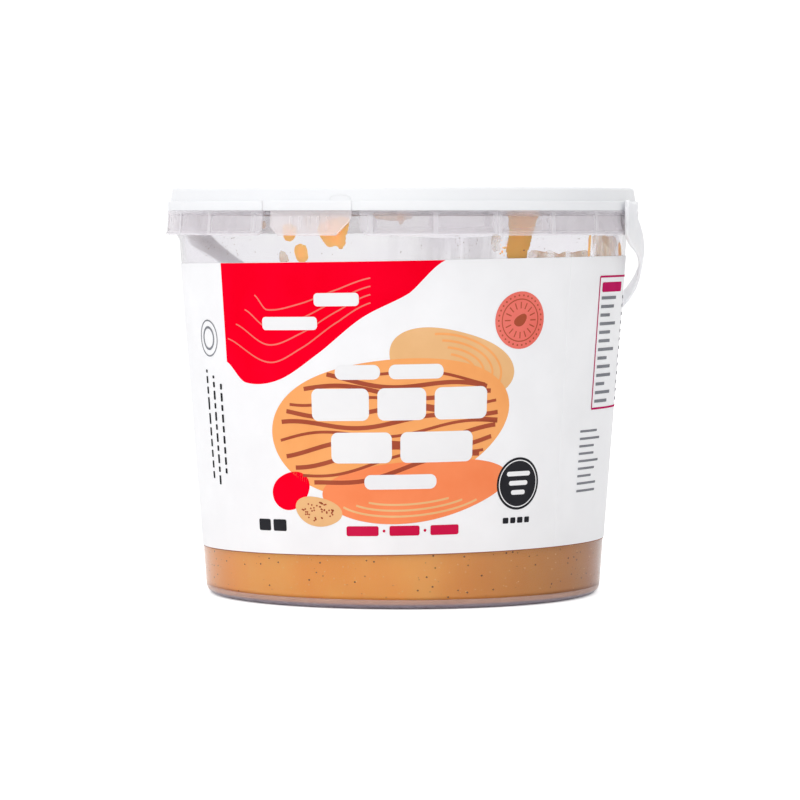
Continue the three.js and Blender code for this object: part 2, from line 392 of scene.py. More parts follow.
def milkyPlastic():
    finish = Finish("strapWhite")
    finish.set(IOR=1.49, Transmission_Weight=0.12, Subsurface_Weight=0.8)
    finish.set(Subsurface_Scale=0.004, Subsurface_Radius=(1, 0.95, 0.95))
    color = finish.tones(finish.noise(scale=80, detail=3), *strapLook["tones"])
    finish.feed(color, "Base Color")
    finish.feed(color, "Emission Color")    # light that comes through the thin strap
    finish.set(Emission_Strength=strapLook["glow"])
    finish.feed(finish.between(finish.noise(scale=300, detail=4), *strapLook["roughness"]), "Roughness")
    finish.bump(finish.noise(scale=700, detail=3), strength=0.1, depth=0.1)
    return finish.material


def paperFinish(name, dark, light, gloss=0.0):
    finish = Finish(name)
    finish.set(IOR=1.45, Specular_IOR_Level=gloss)
    fibre = finish.noise(scale=900, detail=3)
    finish.feed(finish.tones(finish.noise(scale=60, detail=4), dark, light), "Base Color")
    finish.feed(finish.between(fibre, low=0.4, high=0.52), "Roughness")
    finish.bump(fibre, strength=0.06, depth=0.03)
    return finish.material


butterTones = {
    "dark": (250, 160, 66),
    "middle": (254, 170, 76),
    "light": (255, 182, 90),
    "cloud": (255, 180, 98),
    # painted shade for the butter's right side
    "rightShade": (180, 176, 206),
    # painted shade where the butter is seen edge on
    "rim": (196, 160, 186),
    "pale": (238, 208, 182),
    "paleSpeck": (255, 220, 160),
    "darkSpeck": (92, 46, 26),
}
butterSpecks = {
    "pale": {"scale": 470, "inside": 0.06, "outside": 0.1, "stretch": (1.1, 0.9, 1)},
    "dark": {"scale": 380, "inside": 0.04, "outside": 0.065},
    "big": {"scale": 400, "inside": 0.11, "outside": 0.16, "stretch": (1, 1, 1.15)},
}
# glow stands in for light that comes through from behind; cover is the film's least and most
butterLooks = {
    "peanutButter": {"pale": 0.0, "glow": 0.06},
    "peanutButterSmear": {"pale": 0.12, "glow": 0.38},
    "peanutButterStrip": {"pale": 0.02, "glow": 0.14},
    "peanutButterFilm": {"pale": 0.85, "glow": 0.16, "cover": (0.12, 0.7)},
}


def butterFinish(name):
    look = butterLooks[name]
    tone = {key: paint(*value) for key, value in butterTones.items()}
    finish = Finish(name)
    finish.set(IOR=1.46, Subsurface_Weight=0.7 if look["pale"] else 0.15)
    finish.set(Subsurface_Scale=0.003, Subsurface_Radius=(1, 0.55, 0.25))
    streak = finish.noise(scale=55, detail=5, stretch=(1, 1, 0.45))
    color = finish.ramp(streak, (0.3, tone["dark"]), (0.5, tone["middle"]), (0.72, tone["light"]))
    cloud = finish.between(finish.noise(scale=16, detail=3), low=0, high=0.3)
    color = finish.mix(cloud, color, tone["cloud"])
    if look["pale"]:
        color = finish.mix(look["pale"], color, tone["pale"])
    else:
        # painted shade: the butter is made darker towards its right side, where less light falls
        shadedRight = finish.between(finish.place("X"), low=0, high=1, start=0, end=0.076)
        color = finish.darkened(shadedRight, color, butterTones["rightShade"])
        # painted shade: the butter is made darker where it is seen edge on
        rim = finish.between(finish.edgeOn(), low=0, high=1, start=0.22, end=0.6)
        color = finish.darkened(rim, color, butterTones["rim"])
    color = finish.mix(finish.specks(**butterSpecks["pale"]), color, tone["paleSpeck"])
    color = finish.mix(finish.specks(**butterSpecks["dark"]), color, tone["darkSpeck"])
    # the big specks come in patches
    patches = finish.between(finish.noise(scale=75, detail=2), low=0, high=1, start=0.46, end=0.51)
    patchy = finish.mix(patches, color, tone["darkSpeck"])
    color = finish.mix(finish.specks(**butterSpecks["big"]), color, patchy)
    finish.feed(color, "Base Color")
    finish.feed(color, "Emission Color")
    finish.set(Emission_Strength=look["glow"])
    finish.feed(finish.between(streak, low=0.38, high=0.5), "Roughness")
    finish.bump(finish.noise(scale=260, detail=5), strength=0.25, depth=0.25)
    if "cover" in look:
        gaps = finish.noise(scale=150, detail=5, stretch=(1, 1, 0.5))
        finish.feed(finish.between(gaps, *look["cover"], start=0.38, end=0.62), "Alpha")
    return finish.material


hazeLook = {
    "tones": ((196, 186, 194), (212, 204, 210)),
    "roughness": (0.4, 0.6),
    "cover": (0.04, 0.2),
    "fade": (-0.010, 0.012),      # metres to the right, from nothing to the whole
}


# a breath of oil on the wall, in faint upright streaks
def oilHaze():
    finish = Finish("oilHaze")
    finish.set(IOR=1.4, Specular_IOR_Level=0.2)
    cloud = finish.noise(scale=90, detail=3)
    finish.feed(finish.tones(cloud, *hazeLook["tones"]), "Base Color")
    finish.feed(finish.between(cloud, *hazeLook["roughness"]), "Roughness")
    faded = finish.between(finish.place("X"), 0, 1, *hazeLook["fade"])
    streaks = finish.noise(scale=260, detail=4, stretch=(1, 1, 0.07))
    cover = finish.between(streaks, *hazeLook["cover"], start=0.36, end=0.64)
    finish.feed(finish.calculate("MULTIPLY", faded, cover), "Alpha")
    return finish.material


clearMaterial = clearPlastic()
skirtMaterial = frostedPlastic("frostedSkirt")
tabMaterial = frostedPlastic("frostedTab")
footMaterial = frostedPlastic("frostedFootShade")
lidMaterial = whitePlastic()
strapMaterial = milkyPlastic()
paperMaterial = paperFinish("labelPaper", (236, 236, 238), (241, 241, 243), gloss=0.5)
# painted shadow under the label's lower edge
edgeShadowMaterial = paperFinish("labelEdgeShadow", (146, 88, 60), (164, 104, 74))
butterMaterial = butterFinish("peanutButter")
smearMaterial = butterFinish("peanutButterSmear")
stripMaterial = butterFinish("peanutButterStrip")
filmMaterial = butterFinish("peanutButterFilm")
speckMaterial = paperFinish("oilSpecks", (136, 112, 104), (160, 134, 124), gloss=0.5)
hazeMaterial = oilHaze()
print("finishes are made")


# tub

tubShape = {
    "baseRadius": 70.05,
    "taper": 0.0761,
    "wall": 1.1,
    "floorTop": 2.4,
    "floorCorner": 2.6,
    "footInset": 0.9,
    "footCorner": 3.6,
    "footRing": (57.0, 58.6),
    "footStep": (0.5, 0.15),       # the first slope down to the foot ring
    "rimHeight": 142.0,
    "rimRadius": 80.9,
    "rimWall": 1.7,
    "rimRound": 0.6,
    "flangeLow": 134.4,
    "flangeHigh": 135.9,
    "flangeReach": 81.9,
    "flangeRoot": 0.3,             # into the rim
    "wallHeights": (30, 60, 90, 115),
    "loopInsets": (0.3, 1),        # of the loops next to each end of the wall
    "around": 288,
}


def wallRadius(height):
    return tubShape["baseRadius"] + tubShape["taper"] * height


def innerRadius(height):
    return wallRadius(height) - tubShape["wall"]


# loops near both ends of the straight wall, so that its smooth shading doesn't bend what is seen through it
def wallLoops(radiusAt, corner):
    top = tubShape["flangeLow"]
    near, far = tubShape["loopInsets"]
    heights = (corner + near, corner + far, *tubShape["wallHeights"], top - far, top - near)
    return [(radiusAt(height), height) for height in heights]


def footMiddle():
    corner = tubShape["footCorner"]
    return (wallRadius(corner) - corner, corner)


def floorMiddle():
    corner = tubShape["floorTop"] + tubShape["floorCorner"]
    return (innerRadius(corner) - tubShape["floorCorner"], corner)


def tubSection(bearing):
    t = tubShape
    rim, top, lip = t["rimRadius"], t["rimHeight"], t["rimRound"]
    return [
        (0, t["footInset"]),
        (t["footRing"][0], t["footInset"]),
        (t["footRing"][0] + t["footStep"][0], t["footInset"] - t["footStep"][1]),
        (t["footRing"][1], 0),
        *quarter(footMiddle(), t["footCorner"], start=-90, end=0, steps=10),
        *wallLoops(wallRadius, t["footCorner"]),
        (wallRadius(t["flangeLow"]), t["flangeLow"]),
        (rim, t["flangeHigh"]),
        *quarter((rim - lip, top - lip), lip, start=0, end=90, steps=4),
        *quarter((rim - t["rimWall"] + lip, top - lip), lip, start=90, end=180, steps=4),
        (innerRadius(t["flangeLow"]), t["flangeLow"]),
        *reversed(wallLoops(innerRadius, t["floorTop"] + t["floorCorner"])),
        *quarter(floorMiddle(), t["floorCorner"], start=0, end=-90, steps=8),
        (0, t["floorTop"]),
    ]


# the skirt hangs from the flange: framed panels, broken by the tear tab and by the two pivots
skirtShape = {
    "bottom": 127.5,
    "topRadius": 83.8,
    "bottomRadius": 84.38,
    "thickness": 1.1,
    "edgeRounds": (0.25, 0.07),    # how far the outer face draws in at its first and second height
    "innerBevel": 0.4,
    "footBevel": 0.2,
    "ribs": 24,
    "ribWidth": 1.5,
    "doubleRib": 22.5,
    "doubleRibWidth": 2.9,
    "doubleRibGroove": 0.3,
    "grooveHalf": 0.45,
    "panelDepth": 0.5,
    "panelMargin": 1.0,
    "frameInset": 0.1,             # how much less of the margin looks white
    "panelSlope": 0.45,
    "endRounds": {"left": 2.2, "right": 3.6},
    "slots": ((-35.0, -32.5), (-12.1, -10.1)),
    "slotFrame": 3.5,              # the plain end of the skirt beside each slot
    "slotFrameShare": 0.85,
    "slotFrameSoft": 0.6,
    "soft": 0.3,
    "pivots": (69.0, 249.0),
    "pivotHeight": 133.0,
    "pivotGap": 5.7,
    "pivotBlend": 9.0,
    "pivotRound": 0.985,           # so that the hollow under a pivot doesn't close to a point
    "heights": (0, 0.12, 0.35, 0.9, 1.15, 1.45, 1.9, 3.2, 4.8, 6.2, 6.6, 6.9, 7.2, 7.45, 8.05, 8.28, 8.4),
}
arcDegree = math.radians(skirtShape["bottomRadius"])    # millimetres of skirt in one degree
ribStep = 360 / skirtShape["ribs"]


# the distance to the nearest rib in millimetres, half its width, and whether it is the double one
def ribDistance(bearing):
    s = skirtShape
    nearest = (math.floor(bearing / ribStep) + 0.5) * ribStep
    double = abs((nearest - s["doubleRib"] + 180) % 360 - 180) < ribStep / 2
    half = (s["doubleRibWidth"] if double else s["ribWidth"]) / 2
    return abs(bearing - nearest) * arcDegree, half, double


# the skirt's plain slanted face, before its panels
def skirtFace(height):
    s = skirtShape
    share = (height - s["bottom"]) / (tubShape["flangeHigh"] - s["bottom"])
    return s["bottomRadius"] + (s["topRadius"] - s["bottomRadius"]) * share


def skirtOuter(bearing, height):
    s = skirtShape
    distance, half, double = ribDistance(bearing)
    edge = min(height - s["bottom"], tubShape["flangeHigh"] - height)
    sunk = ease((distance - half) / s["panelSlope"]) * ease((edge - s["panelMargin"]) / s["panelSlope"])
    groove = s["doubleRibGroove"] * ease((s["grooveHalf"] - distance) / s["soft"]) if double else 0
    return skirtFace(height) - s["panelDepth"] * sunk - groove


def skirtSection(bottomAt, outerAt, shiftAt=None):
    s = skirtShape
    low, high, root = tubShape["flangeLow"], tubShape["flangeHigh"], tubShape["flangeReach"]
    innerTop = s["topRadius"] - s["thickness"]
    innerBottom = s["bottomRadius"] - s["thickness"]

    def section(bearing):
        bottom = bottomAt(bearing)
        outer = []
        for i, step in enumerate(s["heights"]):
            height = bottom + (high - bottom) * step / (high - s["bottom"])
            fromEnd = min(i, len(s["heights"]) - 1 - i)
            rounding = s["edgeRounds"][fromEnd] if fromEnd < len(s["edgeRounds"]) else 0
            outer.append((outerAt(bearing, height) - rounding, height))
        loop = [
            (root, low),
            (innerTop - s["innerBevel"], low),
            (innerTop, low - s["innerBevel"]),
            ((innerTop + innerBottom) / 2, (low + bottom) / 2),
            (innerBottom, bottom + s["footBevel"]),
            (innerBottom + s["footBevel"], bottom),
            *outer,
            (root, high),
        ]
        if shiftAt:
            loop = [(radius, height, shiftAt(bearing, height)) for radius, height in loop]
        return loop

    return section


# bearings for a length of skirt: even in the panels, and close at the ribs' slopes and at both ends
skirtSpacing = {
    "panel": 1.5,                  # degrees; the rest are millimetres from a rib's middle or from an end
    "panelClear": 0.4,
    "slopeShares": (0, 0.35, 0.7, 1),
    "ribShoulder": 0.15,
    "ribTop": (0.3,),
    "doubleRibTop": (0.12, 0.3, 0.45),
    "ends": (0.1, 0.3, 0.6, 1.0, 1.5, 2.1, 2.8, 3.6, 4.6),
}


def skirtBearings(start, end):
    slope, spacing = skirtShape["panelSlope"], skirtSpacing
    spots = []
    spot = math.ceil(start)
    while spot < end:
        distance, half, _ = ribDistance(spot)
        if distance > half + slope + spacing["panelClear"]:
            spots.append(float(spot))
        spot += spacing["panel"]
    rib = (math.floor(start / ribStep) + 0.5) * ribStep
    while rib < end + ribStep:
        _, half, double = ribDistance(rib)
        offsets = [half + slope * share for share in spacing["slopeShares"]] + [half - spacing["ribShoulder"]]
        offsets += spacing["doubleRibTop" if double else "ribTop"]
        spots += [rib + side * offset / arcDegree for offset in offsets for side in (-1, 1)]
        rib += ribStep
    for offset in spacing["ends"]:
        spots += [start + offset / arcDegree, end - offset / arcDegree]
    return sorted({start, end, *(spot for spot in spots if start < spot < end)})


# one length of skirt; each end is a slot, left or right of the tab, or the hollow round a pivot
def skirtLength(start, end, startIs, endIs):
    s = skirtShape

    def bottomAt(bearing):
        bottom = s["bottom"]
        for place, kind in ((start, startIs), (end, endIs)):
            distance = abs(bearing - place) * arcDegree
            corner = s["endRounds"].get(kind, 0)
            if distance < corner:
                bottom += corner - math.sqrt(corner ** 2 - (corner - distance) ** 2)
        return bottom

    def shiftAt(bearing, height):
        shift, gap, blend = 0, s["pivotGap"], s["pivotBlend"]
        for place, kind, side in ((start, startIs, 1), (end, endIs, -1)):
            nominal = gap + abs(bearing - place) * arcDegree
            if kind == "pivot" and nominal < blend:
                rise = min(abs(height - s["pivotHeight"]), gap * s["pivotRound"])
                edge = math.sqrt(gap ** 2 - rise ** 2) if height < s["pivotHeight"] else gap
                share = (nominal - gap) / (blend - gap)
                shift += side * ((edge + (blend - edge) * share) - nominal) / arcDegree
        return shift

    return sweepRound(skirtBearings(start, end), skirtSection(bottomAt, skirtOuter, shiftAt), closed=False)


tabShape = {
    "edges": (-32.5, -12.1),
    "chamfers": (3.0, 5.2),
    "inset": 0.3,
    "bars": 5,
    "barSpacing": 3.4,
    "barWidth": 1.1,
    "barHeight": 4.4,
    "barMiddle": 131.7,
    "barRelief": 0.4,
    "barGrow": 0.1,                # each way, for the soft sides
    "barSoft": (0.3, 0.35),        # across and along
    "rimWidth": 0.8,
    "rimRelief": 0.22,
    "rimSoft": 0.3,
    "step": 0.22,
}


def tearTab():
    t = tabShape
    start, end = t["edges"]
    middle = (start + end) / 2
    barSpots = [middle + (i - (t["bars"] - 1) / 2) * t["barSpacing"] / arcDegree for i in range(t["bars"])]

    def bottomAt(bearing):
        cut = 0
        for place, chamfer in zip(t["edges"], t["chamfers"]):
            cut = max(cut, chamfer - abs(bearing - place) * arcDegree)
        return skirtShape["bottom"] + cut

    def outerAt(bearing, height):
        edge = min(*(abs(bearing - place) * arcDegree for place in t["edges"]), height - bottomAt(bearing))
        along = t["barHeight"] / 2 + t["barGrow"] - abs(height - t["barMiddle"])
        lift = 0
        for place in barSpots:
            across = t["barWidth"] / 2 + t["barGrow"] - abs(bearing - place) * arcDegree
            lift = max(lift, ease(across / t["barSoft"][0]) * ease(along / t["barSoft"][1]))
        rim = ease((t["rimWidth"] - edge) / t["rimSoft"])
        return skirtFace(height) - t["inset"] + t["rimRelief"] * rim + t["barRelief"] * lift

    steps = int((end - start) * arcDegree / t["step"])
    bearings = [start + (end - start) * i / steps for i in range(steps + 1)]
    return sweepRound(bearings, skirtSection(bottomAt, outerAt), closed=False)


bridgeShape = {"share": 0.62, "bevel": 0.2, "clear": 0.02, "steps": 8}


# the short stretch of flange over a pivot, where the skirt is left open
def flangeBridge(pivot):
    b = bridgeShape
    reach = skirtShape["pivotBlend"] * b["share"] / arcDegree
    root, top = tubShape["flangeReach"], skirtShape["topRadius"]
    low, high = tubShape["flangeLow"], tubShape["flangeHigh"]
    section = [
        (root, low + b["clear"]),
        (top - b["bevel"], low + b["clear"]),
        (top - b["clear"], low + b["bevel"]),
        (top - b["clear"], high - b["bevel"]),
        (top - b["bevel"], high - b["clear"]),
        (root, high - b["clear"]),
    ]
    bearings = [pivot - reach + 2 * reach * i / b["steps"] for i in range(b["steps"] + 1)]
    return sweepRound(bearings, lambda bearing: section, closed=False)


bossShape = {
    "radius": 2.85,
    "bore": 1.95,
    "face": 84.2,
    "root": 80.25,
    "bevel": 0.25,
    "boreBevel": 0.15,
    "sides": 40,
}


def pivotBoss(pivot):
    b = bossShape
    section = [
        (b["root"], b["bore"]),
        (b["root"], b["radius"]),
        (b["face"] - b["bevel"], b["radius"]),
        (b["face"], b["radius"] - b["bevel"]),
        (b["face"], b["bore"] + b["boreBevel"]),
        (b["face"] - b["boreBevel"], b["bore"]),
    ]
    return radialRing(pivot, skirtShape["pivotHeight"], section, b["sides"])


footShell = {"outer": 0.12, "inner": 0.62, "low": -80, "high": -3, "steps": 10}    # depths and angles


# the solid corner at the foot: a grey shell just under the wall's face, partly the dense plastic and partly
# painted shade on the foot's underside
def footSection(bearing):
    f, corner = footShell, tubShape["footCorner"]
    outer = quarter(footMiddle(), corner - f["outer"], f["low"], f["high"], f["steps"])
    inner = quarter(footMiddle(), corner - f["inner"], f["high"], f["low"], f["steps"])
    return outer + inner


# how near a spot of the skirt is to a raised rib, frame or edge: 1 on it and 0 in a panel
def frameShare(bearing, height):
    s = skirtShape
    distance, half, _ = ribDistance(bearing)
    onRib = ease((half + s["soft"] - distance) / s["soft"])
    edge = min(height - s["bottom"], tubShape["flangeHigh"] - height)
    onFrame = ease((s["panelMargin"] - s["frameInset"] - edge) / s["soft"])
    slotEnd = min((s["slots"][0][0] - bearing) % 360, (bearing - s["slots"][1][1]) % 360) * arcDegree
    atSlot = s["slotFrameShare"] * ease((s["slotFrame"] - slotEnd) / s["slotFrameSoft"])
    return max(onRib, onFrame, atSlot)


def buildTub():
    s, t = skirtShape, tubShape
    gap = s["pivotGap"] / arcDegree
    right, left = s["pivots"]
    parts = [
        skirtLength(s["slots"][1][1], right - gap, "right", "pivot"),
        skirtLength(right + gap, left - gap, "pivot", "pivot"),
        skirtLength(left + gap, s["slots"][0][0] + 360, "pivot", "left"),
    ]
    for pivot in s["pivots"]:
        parts += [flangeBridge(pivot), pivotBoss(pivot)]
    root, reach = t["rimRadius"] - t["flangeRoot"], t["flangeReach"]
    low, high = t["flangeLow"], t["flangeHigh"]
    flange = [(root, low), (reach, low), (reach, high), (root, high)]
    bearings = allRound(t["around"])
    parts.append(sweepRound(bearings, lambda bearing: flange))
    for name, (points, faces), material in (
        ("tub.wall", sweepRound(bearings, tubSection), clearMaterial),
        ("tub.skirt", together(*parts), skirtMaterial),
        ("tub.tearTab", tearTab(), tabMaterial),
        ("tub.foot", sweepRound(bearings, footSection), footMaterial),
    ):
        piece = makeMesh(name, points, faces, material)
        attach(piece, "tub")
        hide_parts("tub")
        if name == "tub.skirt":
            shares = piece.data.attributes.new("frameShare", "FLOAT", "POINT")
            for vertex, share in zip(piece.data.vertices, shares.data):
                x, y, z = vertex.co / metres
                share.value = frameShare(math.degrees(math.atan2(x, -y)), z)


buildTub()
print("tub is built")


# lid

lidShape = {
    "top": 144.0,
    "topRadius": 82.2,
    "sideRadius": 82.8,
    "bandRadius": 83.7,
    "bandTop": 139.2,
    "bandBottom": 135.93,
    "bandStep": 0.12,
    "edgeRound": 1.3,
    "bandRound": 0.25,
    "panelTop": 141.8,
    "panelRadius": 74.5,
    "panelEdge": (0.3, 0.2),       # the small bevel between the panel and the ring's slope
    "ringSlope": 2.0,
    "ringEdge": (0.25, 0.2),
    "thickness": 1.4,
    "plugOuter": 78.85,
    "plugBottom": 134.4,
    "plugBevel": (0.6, 2),
    "rimGap": 0.35,
    "notchRadius": 83.1,
    "notchRound": 0.05,
    "notchEdge": 0.03,
    "around": 288,
}


def lidSection(bearing):
    p = lidShape
    signed = (bearing + 180) % 360 - 180
    notched = any(low < signed < high for low, high in skirtShape["slots"])
    band = p["notchRadius"] if notched else p["bandRadius"]
    corner = p["notchRound"] if notched else p["bandRound"]
    plugInner = p["plugOuter"] - p["thickness"]
    grooveTop = tubShape["rimHeight"] + p["rimGap"]
    grooveOuter = tubShape["rimRadius"] + p["rimGap"]
    edge = (p["topRadius"] - p["edgeRound"], p["top"] - p["edgeRound"])
    ring = p["panelRadius"] + p["ringSlope"]
    return [
        (0, p["panelTop"] - p["thickness"]),
        (plugInner, p["panelTop"] - p["thickness"]),
        (plugInner, p["plugBottom"]),
        (p["plugOuter"] - p["plugBevel"][0], p["plugBottom"]),
        (p["plugOuter"], p["plugBottom"] + p["plugBevel"][1]),
        (p["plugOuter"], grooveTop),
        (grooveOuter, grooveTop),
        (grooveOuter, p["bandBottom"]),
        *quarter((band - corner, p["bandBottom"] + corner), corner, start=-90, end=0, steps=3),
        *quarter((band - corner, p["bandTop"] - corner), corner, start=0, end=90, steps=3),
        (p["sideRadius"] + (0 if notched else p["bandStep"]), p["bandTop"]),
        (p["sideRadius"], p["bandTop"] + p["bandStep"]),
        *quarter(edge, p["edgeRound"], start=0, end=90, steps=7),
        (ring + p["ringEdge"][0], p["top"]),
        (ring, p["top"] - p["ringEdge"][1]),
        (p["panelRadius"] + p["panelEdge"][0], p["panelTop"] + p["panelEdge"][0]),
        (p["panelRadius"] - p["panelEdge"][1], p["panelTop"]),
        (0, p["panelTop"]),
    ]


arcShape = {
    "bearing": -14.9,
    "halfWidth": 3.7,
    "low": 139.8,
    "rise": 1.5,
    "line": 0.16,
    "stretch": (1.2, 0.5),         # of the line's width, across and upwards
    "steps": 28,
    "sides": 8,
}


# a fine raised arc on the lid's side, above the tear tab
def thumbArc():
    p, a = lidShape, arcShape
    lean = (p["topRadius"] - p["sideRadius"]) / (p["top"] - p["edgeRound"] - p["bandTop"])
    points = []
    for i in range(a["steps"] + 1):
        turn = math.pi * i / a["steps"]
        bearing = a["bearing"] - a["halfWidth"] * math.cos(turn) / arcDegree
        height = a["low"] + a["rise"] * math.sin(turn)
        face = p["sideRadius"] + lean * (height - p["bandTop"])
        for j in range(a["sides"]):
            side = 2 * math.pi * j / a["sides"]
            across, out = a["line"] * math.cos(side), a["line"] * math.sin(side)
            wide, tall = across * a["stretch"][0], across * a["stretch"][1]
            points.append(onTub(bearing + wide / arcDegree, face + out, height + tall))
    return points, skin(a["steps"] + 1, a["sides"], closed=False, capped=False)


def buildLid():
    bearings = set(allRound(lidShape["around"]))
    for slot in skirtShape["slots"]:
        for edge in slot:
            bearings.update((edge + side * lidShape["notchEdge"]) % 360 for side in (-1, 1))
    points, faces = together(sweepRound(sorted(bearings), lidSection), thumbArc())
    piece = makeMesh("lid.white", points, faces, lidMaterial)
    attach(piece, "tub")
    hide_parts("lid")


buildLid()
print("lid is built")


# peanut butter

butterShape = {
    "level": 113.0,
    "reach": 0.15,                 # into the wall and floor, so that no air shows between
    "wallHeights": (30, 60, 90),
    "rings": 34,
    "around": 192,
    "swirls": 2.5,
    "swirlHeight": 0.42,
    "swirlFade": 6,                # the power by which it dies out towards the wall
    "middleRise": 4,               # it starts this many times as steep as the radius
    "unevenHeight": 0.25,
    "unevenSides": 3,
    "unevenTurn": 9,
    "meniscus": 0.35,
    "meniscusWidth": 0.07,         # a share of the radius
}


# the top, stirred into a low swirl and drawn up a little at the wall
def butterTop(radius, bearing):
    b = butterShape
    share = radius / innerRadius(b["level"])
    swirl = math.sin(2 * math.pi * b["swirls"] * share + math.radians(bearing))
    swirl *= 1 - share ** b["swirlFade"]
    uneven = math.sin(math.radians(b["unevenSides"] * bearing) + b["unevenTurn"] * share)
    uneven *= share * (1 - share)
    drawnUp = ease((share - (1 - b["meniscusWidth"])) / b["meniscusWidth"])
    height = b["level"] + b["swirlHeight"] * swirl * min(1, b["middleRise"] * share)
    return height + b["unevenHeight"] * uneven + b["meniscus"] * drawnUp


def buildButter():
    b, t = butterShape, tubShape
    outerTop = innerRadius(b["level"]) + b["reach"]

    def section(bearing):
        side = [(0, t["floorTop"] - b["reach"])]
        side += quarter(floorMiddle(), t["floorCorner"] + b["reach"], start=-90, end=0, steps=8)
        side += [(innerRadius(height) + b["reach"], height) for height in (*b["wallHeights"], b["level"] - 1)]
        for i in range(b["rings"] + 1):
            radius = outerTop * (1 - i / b["rings"])
            side.append((radius, butterTop(min(radius, outerTop - b["reach"]), bearing)))
        return side

    points, faces = sweepRound(allRound(b["around"]), section)
    piece = makeMesh("peanutButter", points, faces, butterMaterial, sharp=60)
    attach(piece, "tub")
    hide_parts("peanut_butter")


buildButter()
print("peanut butter is filled in")


# marks of peanut butter on the inside of the wall above the label, placed by pixels of the photo

markKinds = {
    "smear": ("smears", smearMaterial),
    "film": ("smears.thin", filmMaterial),
    "strip": ("smears.strip", stripMaterial),
    "speck": ("smears.specks", speckMaterial),
    "haze": ("smears.haze", hazeMaterial),
}
smearMarks = {
    "drop": {
        "kind": "film", "thick": 0.3,
        "pixels": [(262, 222), (265, 221), (267, 225), (265, 229), (262, 227)],
    },
    "blobUnderSlot": {
        "kind": "smear", "thick": 0.5,
        "pixels": [(283, 226), (290, 224), (297, 228), (296, 235), (293, 240), (288, 241), (284, 237)],
    },
    "blobUnderTab": {
        "kind": "smear", "thick": 0.6,
        "pixels": [(295, 247), (300, 244), (306, 246), (308, 252),
                   (308, 259), (303, 263), (298, 261), (295, 254)],
    },
    "paleBlob": {
        "kind": "film", "thick": 0.3,
        "pixels": [(280, 252), (284, 251), (288, 256), (289, 261), (284, 263), (280, 260)],
    },
    "bigBlob": {
        "kind": "smear", "thick": 0.8,
        "pixels": [(318, 228), (330, 220), (341, 217), (349, 220), (348, 230), (346, 237),
                   (345, 245), (341, 249), (336, 246), (331, 247), (326, 245), (322, 239)],
    },
    "behindTab": {
        "kind": "film", "thick": 0.25,
        "pixels": [(305, 217), (318, 213), (334, 214), (348, 216),
                   (347, 224), (334, 228), (318, 230), (306, 230)],
    },
    "smallPeach": {
        "kind": "film", "thick": 0.35,
        "pixels": [(397, 212), (403, 211), (406, 216), (404, 222), (400, 225), (398, 219)],
    },
    "paleSheet": {
        "kind": "film", "thick": 0.15,
        "pixels": [(372, 213), (388, 212), (402, 213), (412, 214), (410, 219), (396, 221), (378, 219)],
    },
    "strip": {
        "kind": "strip", "thick": 0.5,
        "pixels": [(509, 209), (524, 208), (539, 210), (536, 222), (532, 234), (530, 243), (527, 252),
                   (524, 260), (510, 260), (506, 252), (507, 243), (509, 233), (508, 221)],
    },
    "raggedPatch": {
        "kind": "film", "thick": 0.3,
        "pixels": [(492, 236), (497, 234), (501, 238), (499, 244), (500, 250), (493, 251), (491, 244)],
    },
    "scallops": {
        "kind": "film", "thick": 0.3,
        "pixels": [(526, 254), (534, 250), (541, 253), (549, 250), (557, 254), (566, 251), (575, 253),
                   (583, 250), (590, 253), (590, 260), (570, 262), (548, 262), (526, 262)],
    },
    "oilySheet": {
        "kind": "haze", "thick": 0.12,
        "pixels": [(372, 238), (400, 236), (440, 238), (480, 237), (507, 236),
                   (506, 250), (505, 262), (440, 264), (385, 264), (374, 252)],
    },
    "rightStreak": {
        "kind": "smear", "thick": 0.3,
        "pixels": [(588.2, 236), (590, 236), (589.6, 246), (588.6, 256), (587, 256), (587.6, 246)],
    },
    "endStreak": {
        "kind": "smear", "thick": 0.3,
        "pixels": [(616.8, 243), (618.6, 245), (619, 256), (617, 256)],
    },
    "rightFilm": {
        "kind": "film", "thick": 0.2,
        "pixels": [(592, 237), (604, 236), (614, 238), (614, 258), (604, 260), (594, 259)],
    },
}
# from and to are corners of the pixels where the specks lie, and size is their radius
speckMarks = {
    "nearMiddle": {"kind": "speck", "from": (455, 235), "to": (478, 258), "count": 30, "size": (0.08, 0.2)},
    "besideStrip": {"kind": "smear", "from": (500, 240), "to": (509, 256), "count": 14, "size": (0.15, 0.5)},
    "leftWedge": {"kind": "speck", "from": (205, 236), "to": (246, 256), "count": 26, "size": (0.08, 0.2)},
    "allAlong": {"kind": "speck", "from": (190, 214), "to": (610, 258), "count": 90, "size": (0.06, 0.2)},
}
patchShape = {
    "sunk": 0.06,                  # the outer face lies this far in the plastic
    "ragged": 0.05,
    "curveSteps": 7,
    "speckSides": 7,
    "speckReach": (0.7, 1.3),
    "speckThick": 0.5,             # a share of the speck's size
    "domePower": 2.5,
    "lumps": 0.3,
}


def closedCurve(spots, steps):
    count = len(spots)
    curve = []
    for i in range(count):
        knots = [spots[(i + k) % count] for k in (-1, 0, 1, 2)]
        for j in range(steps):
            curve.append(tuple(curveAt(*(knot[k] for knot in knots), j / steps) for k in (0, 1)))
    return curve


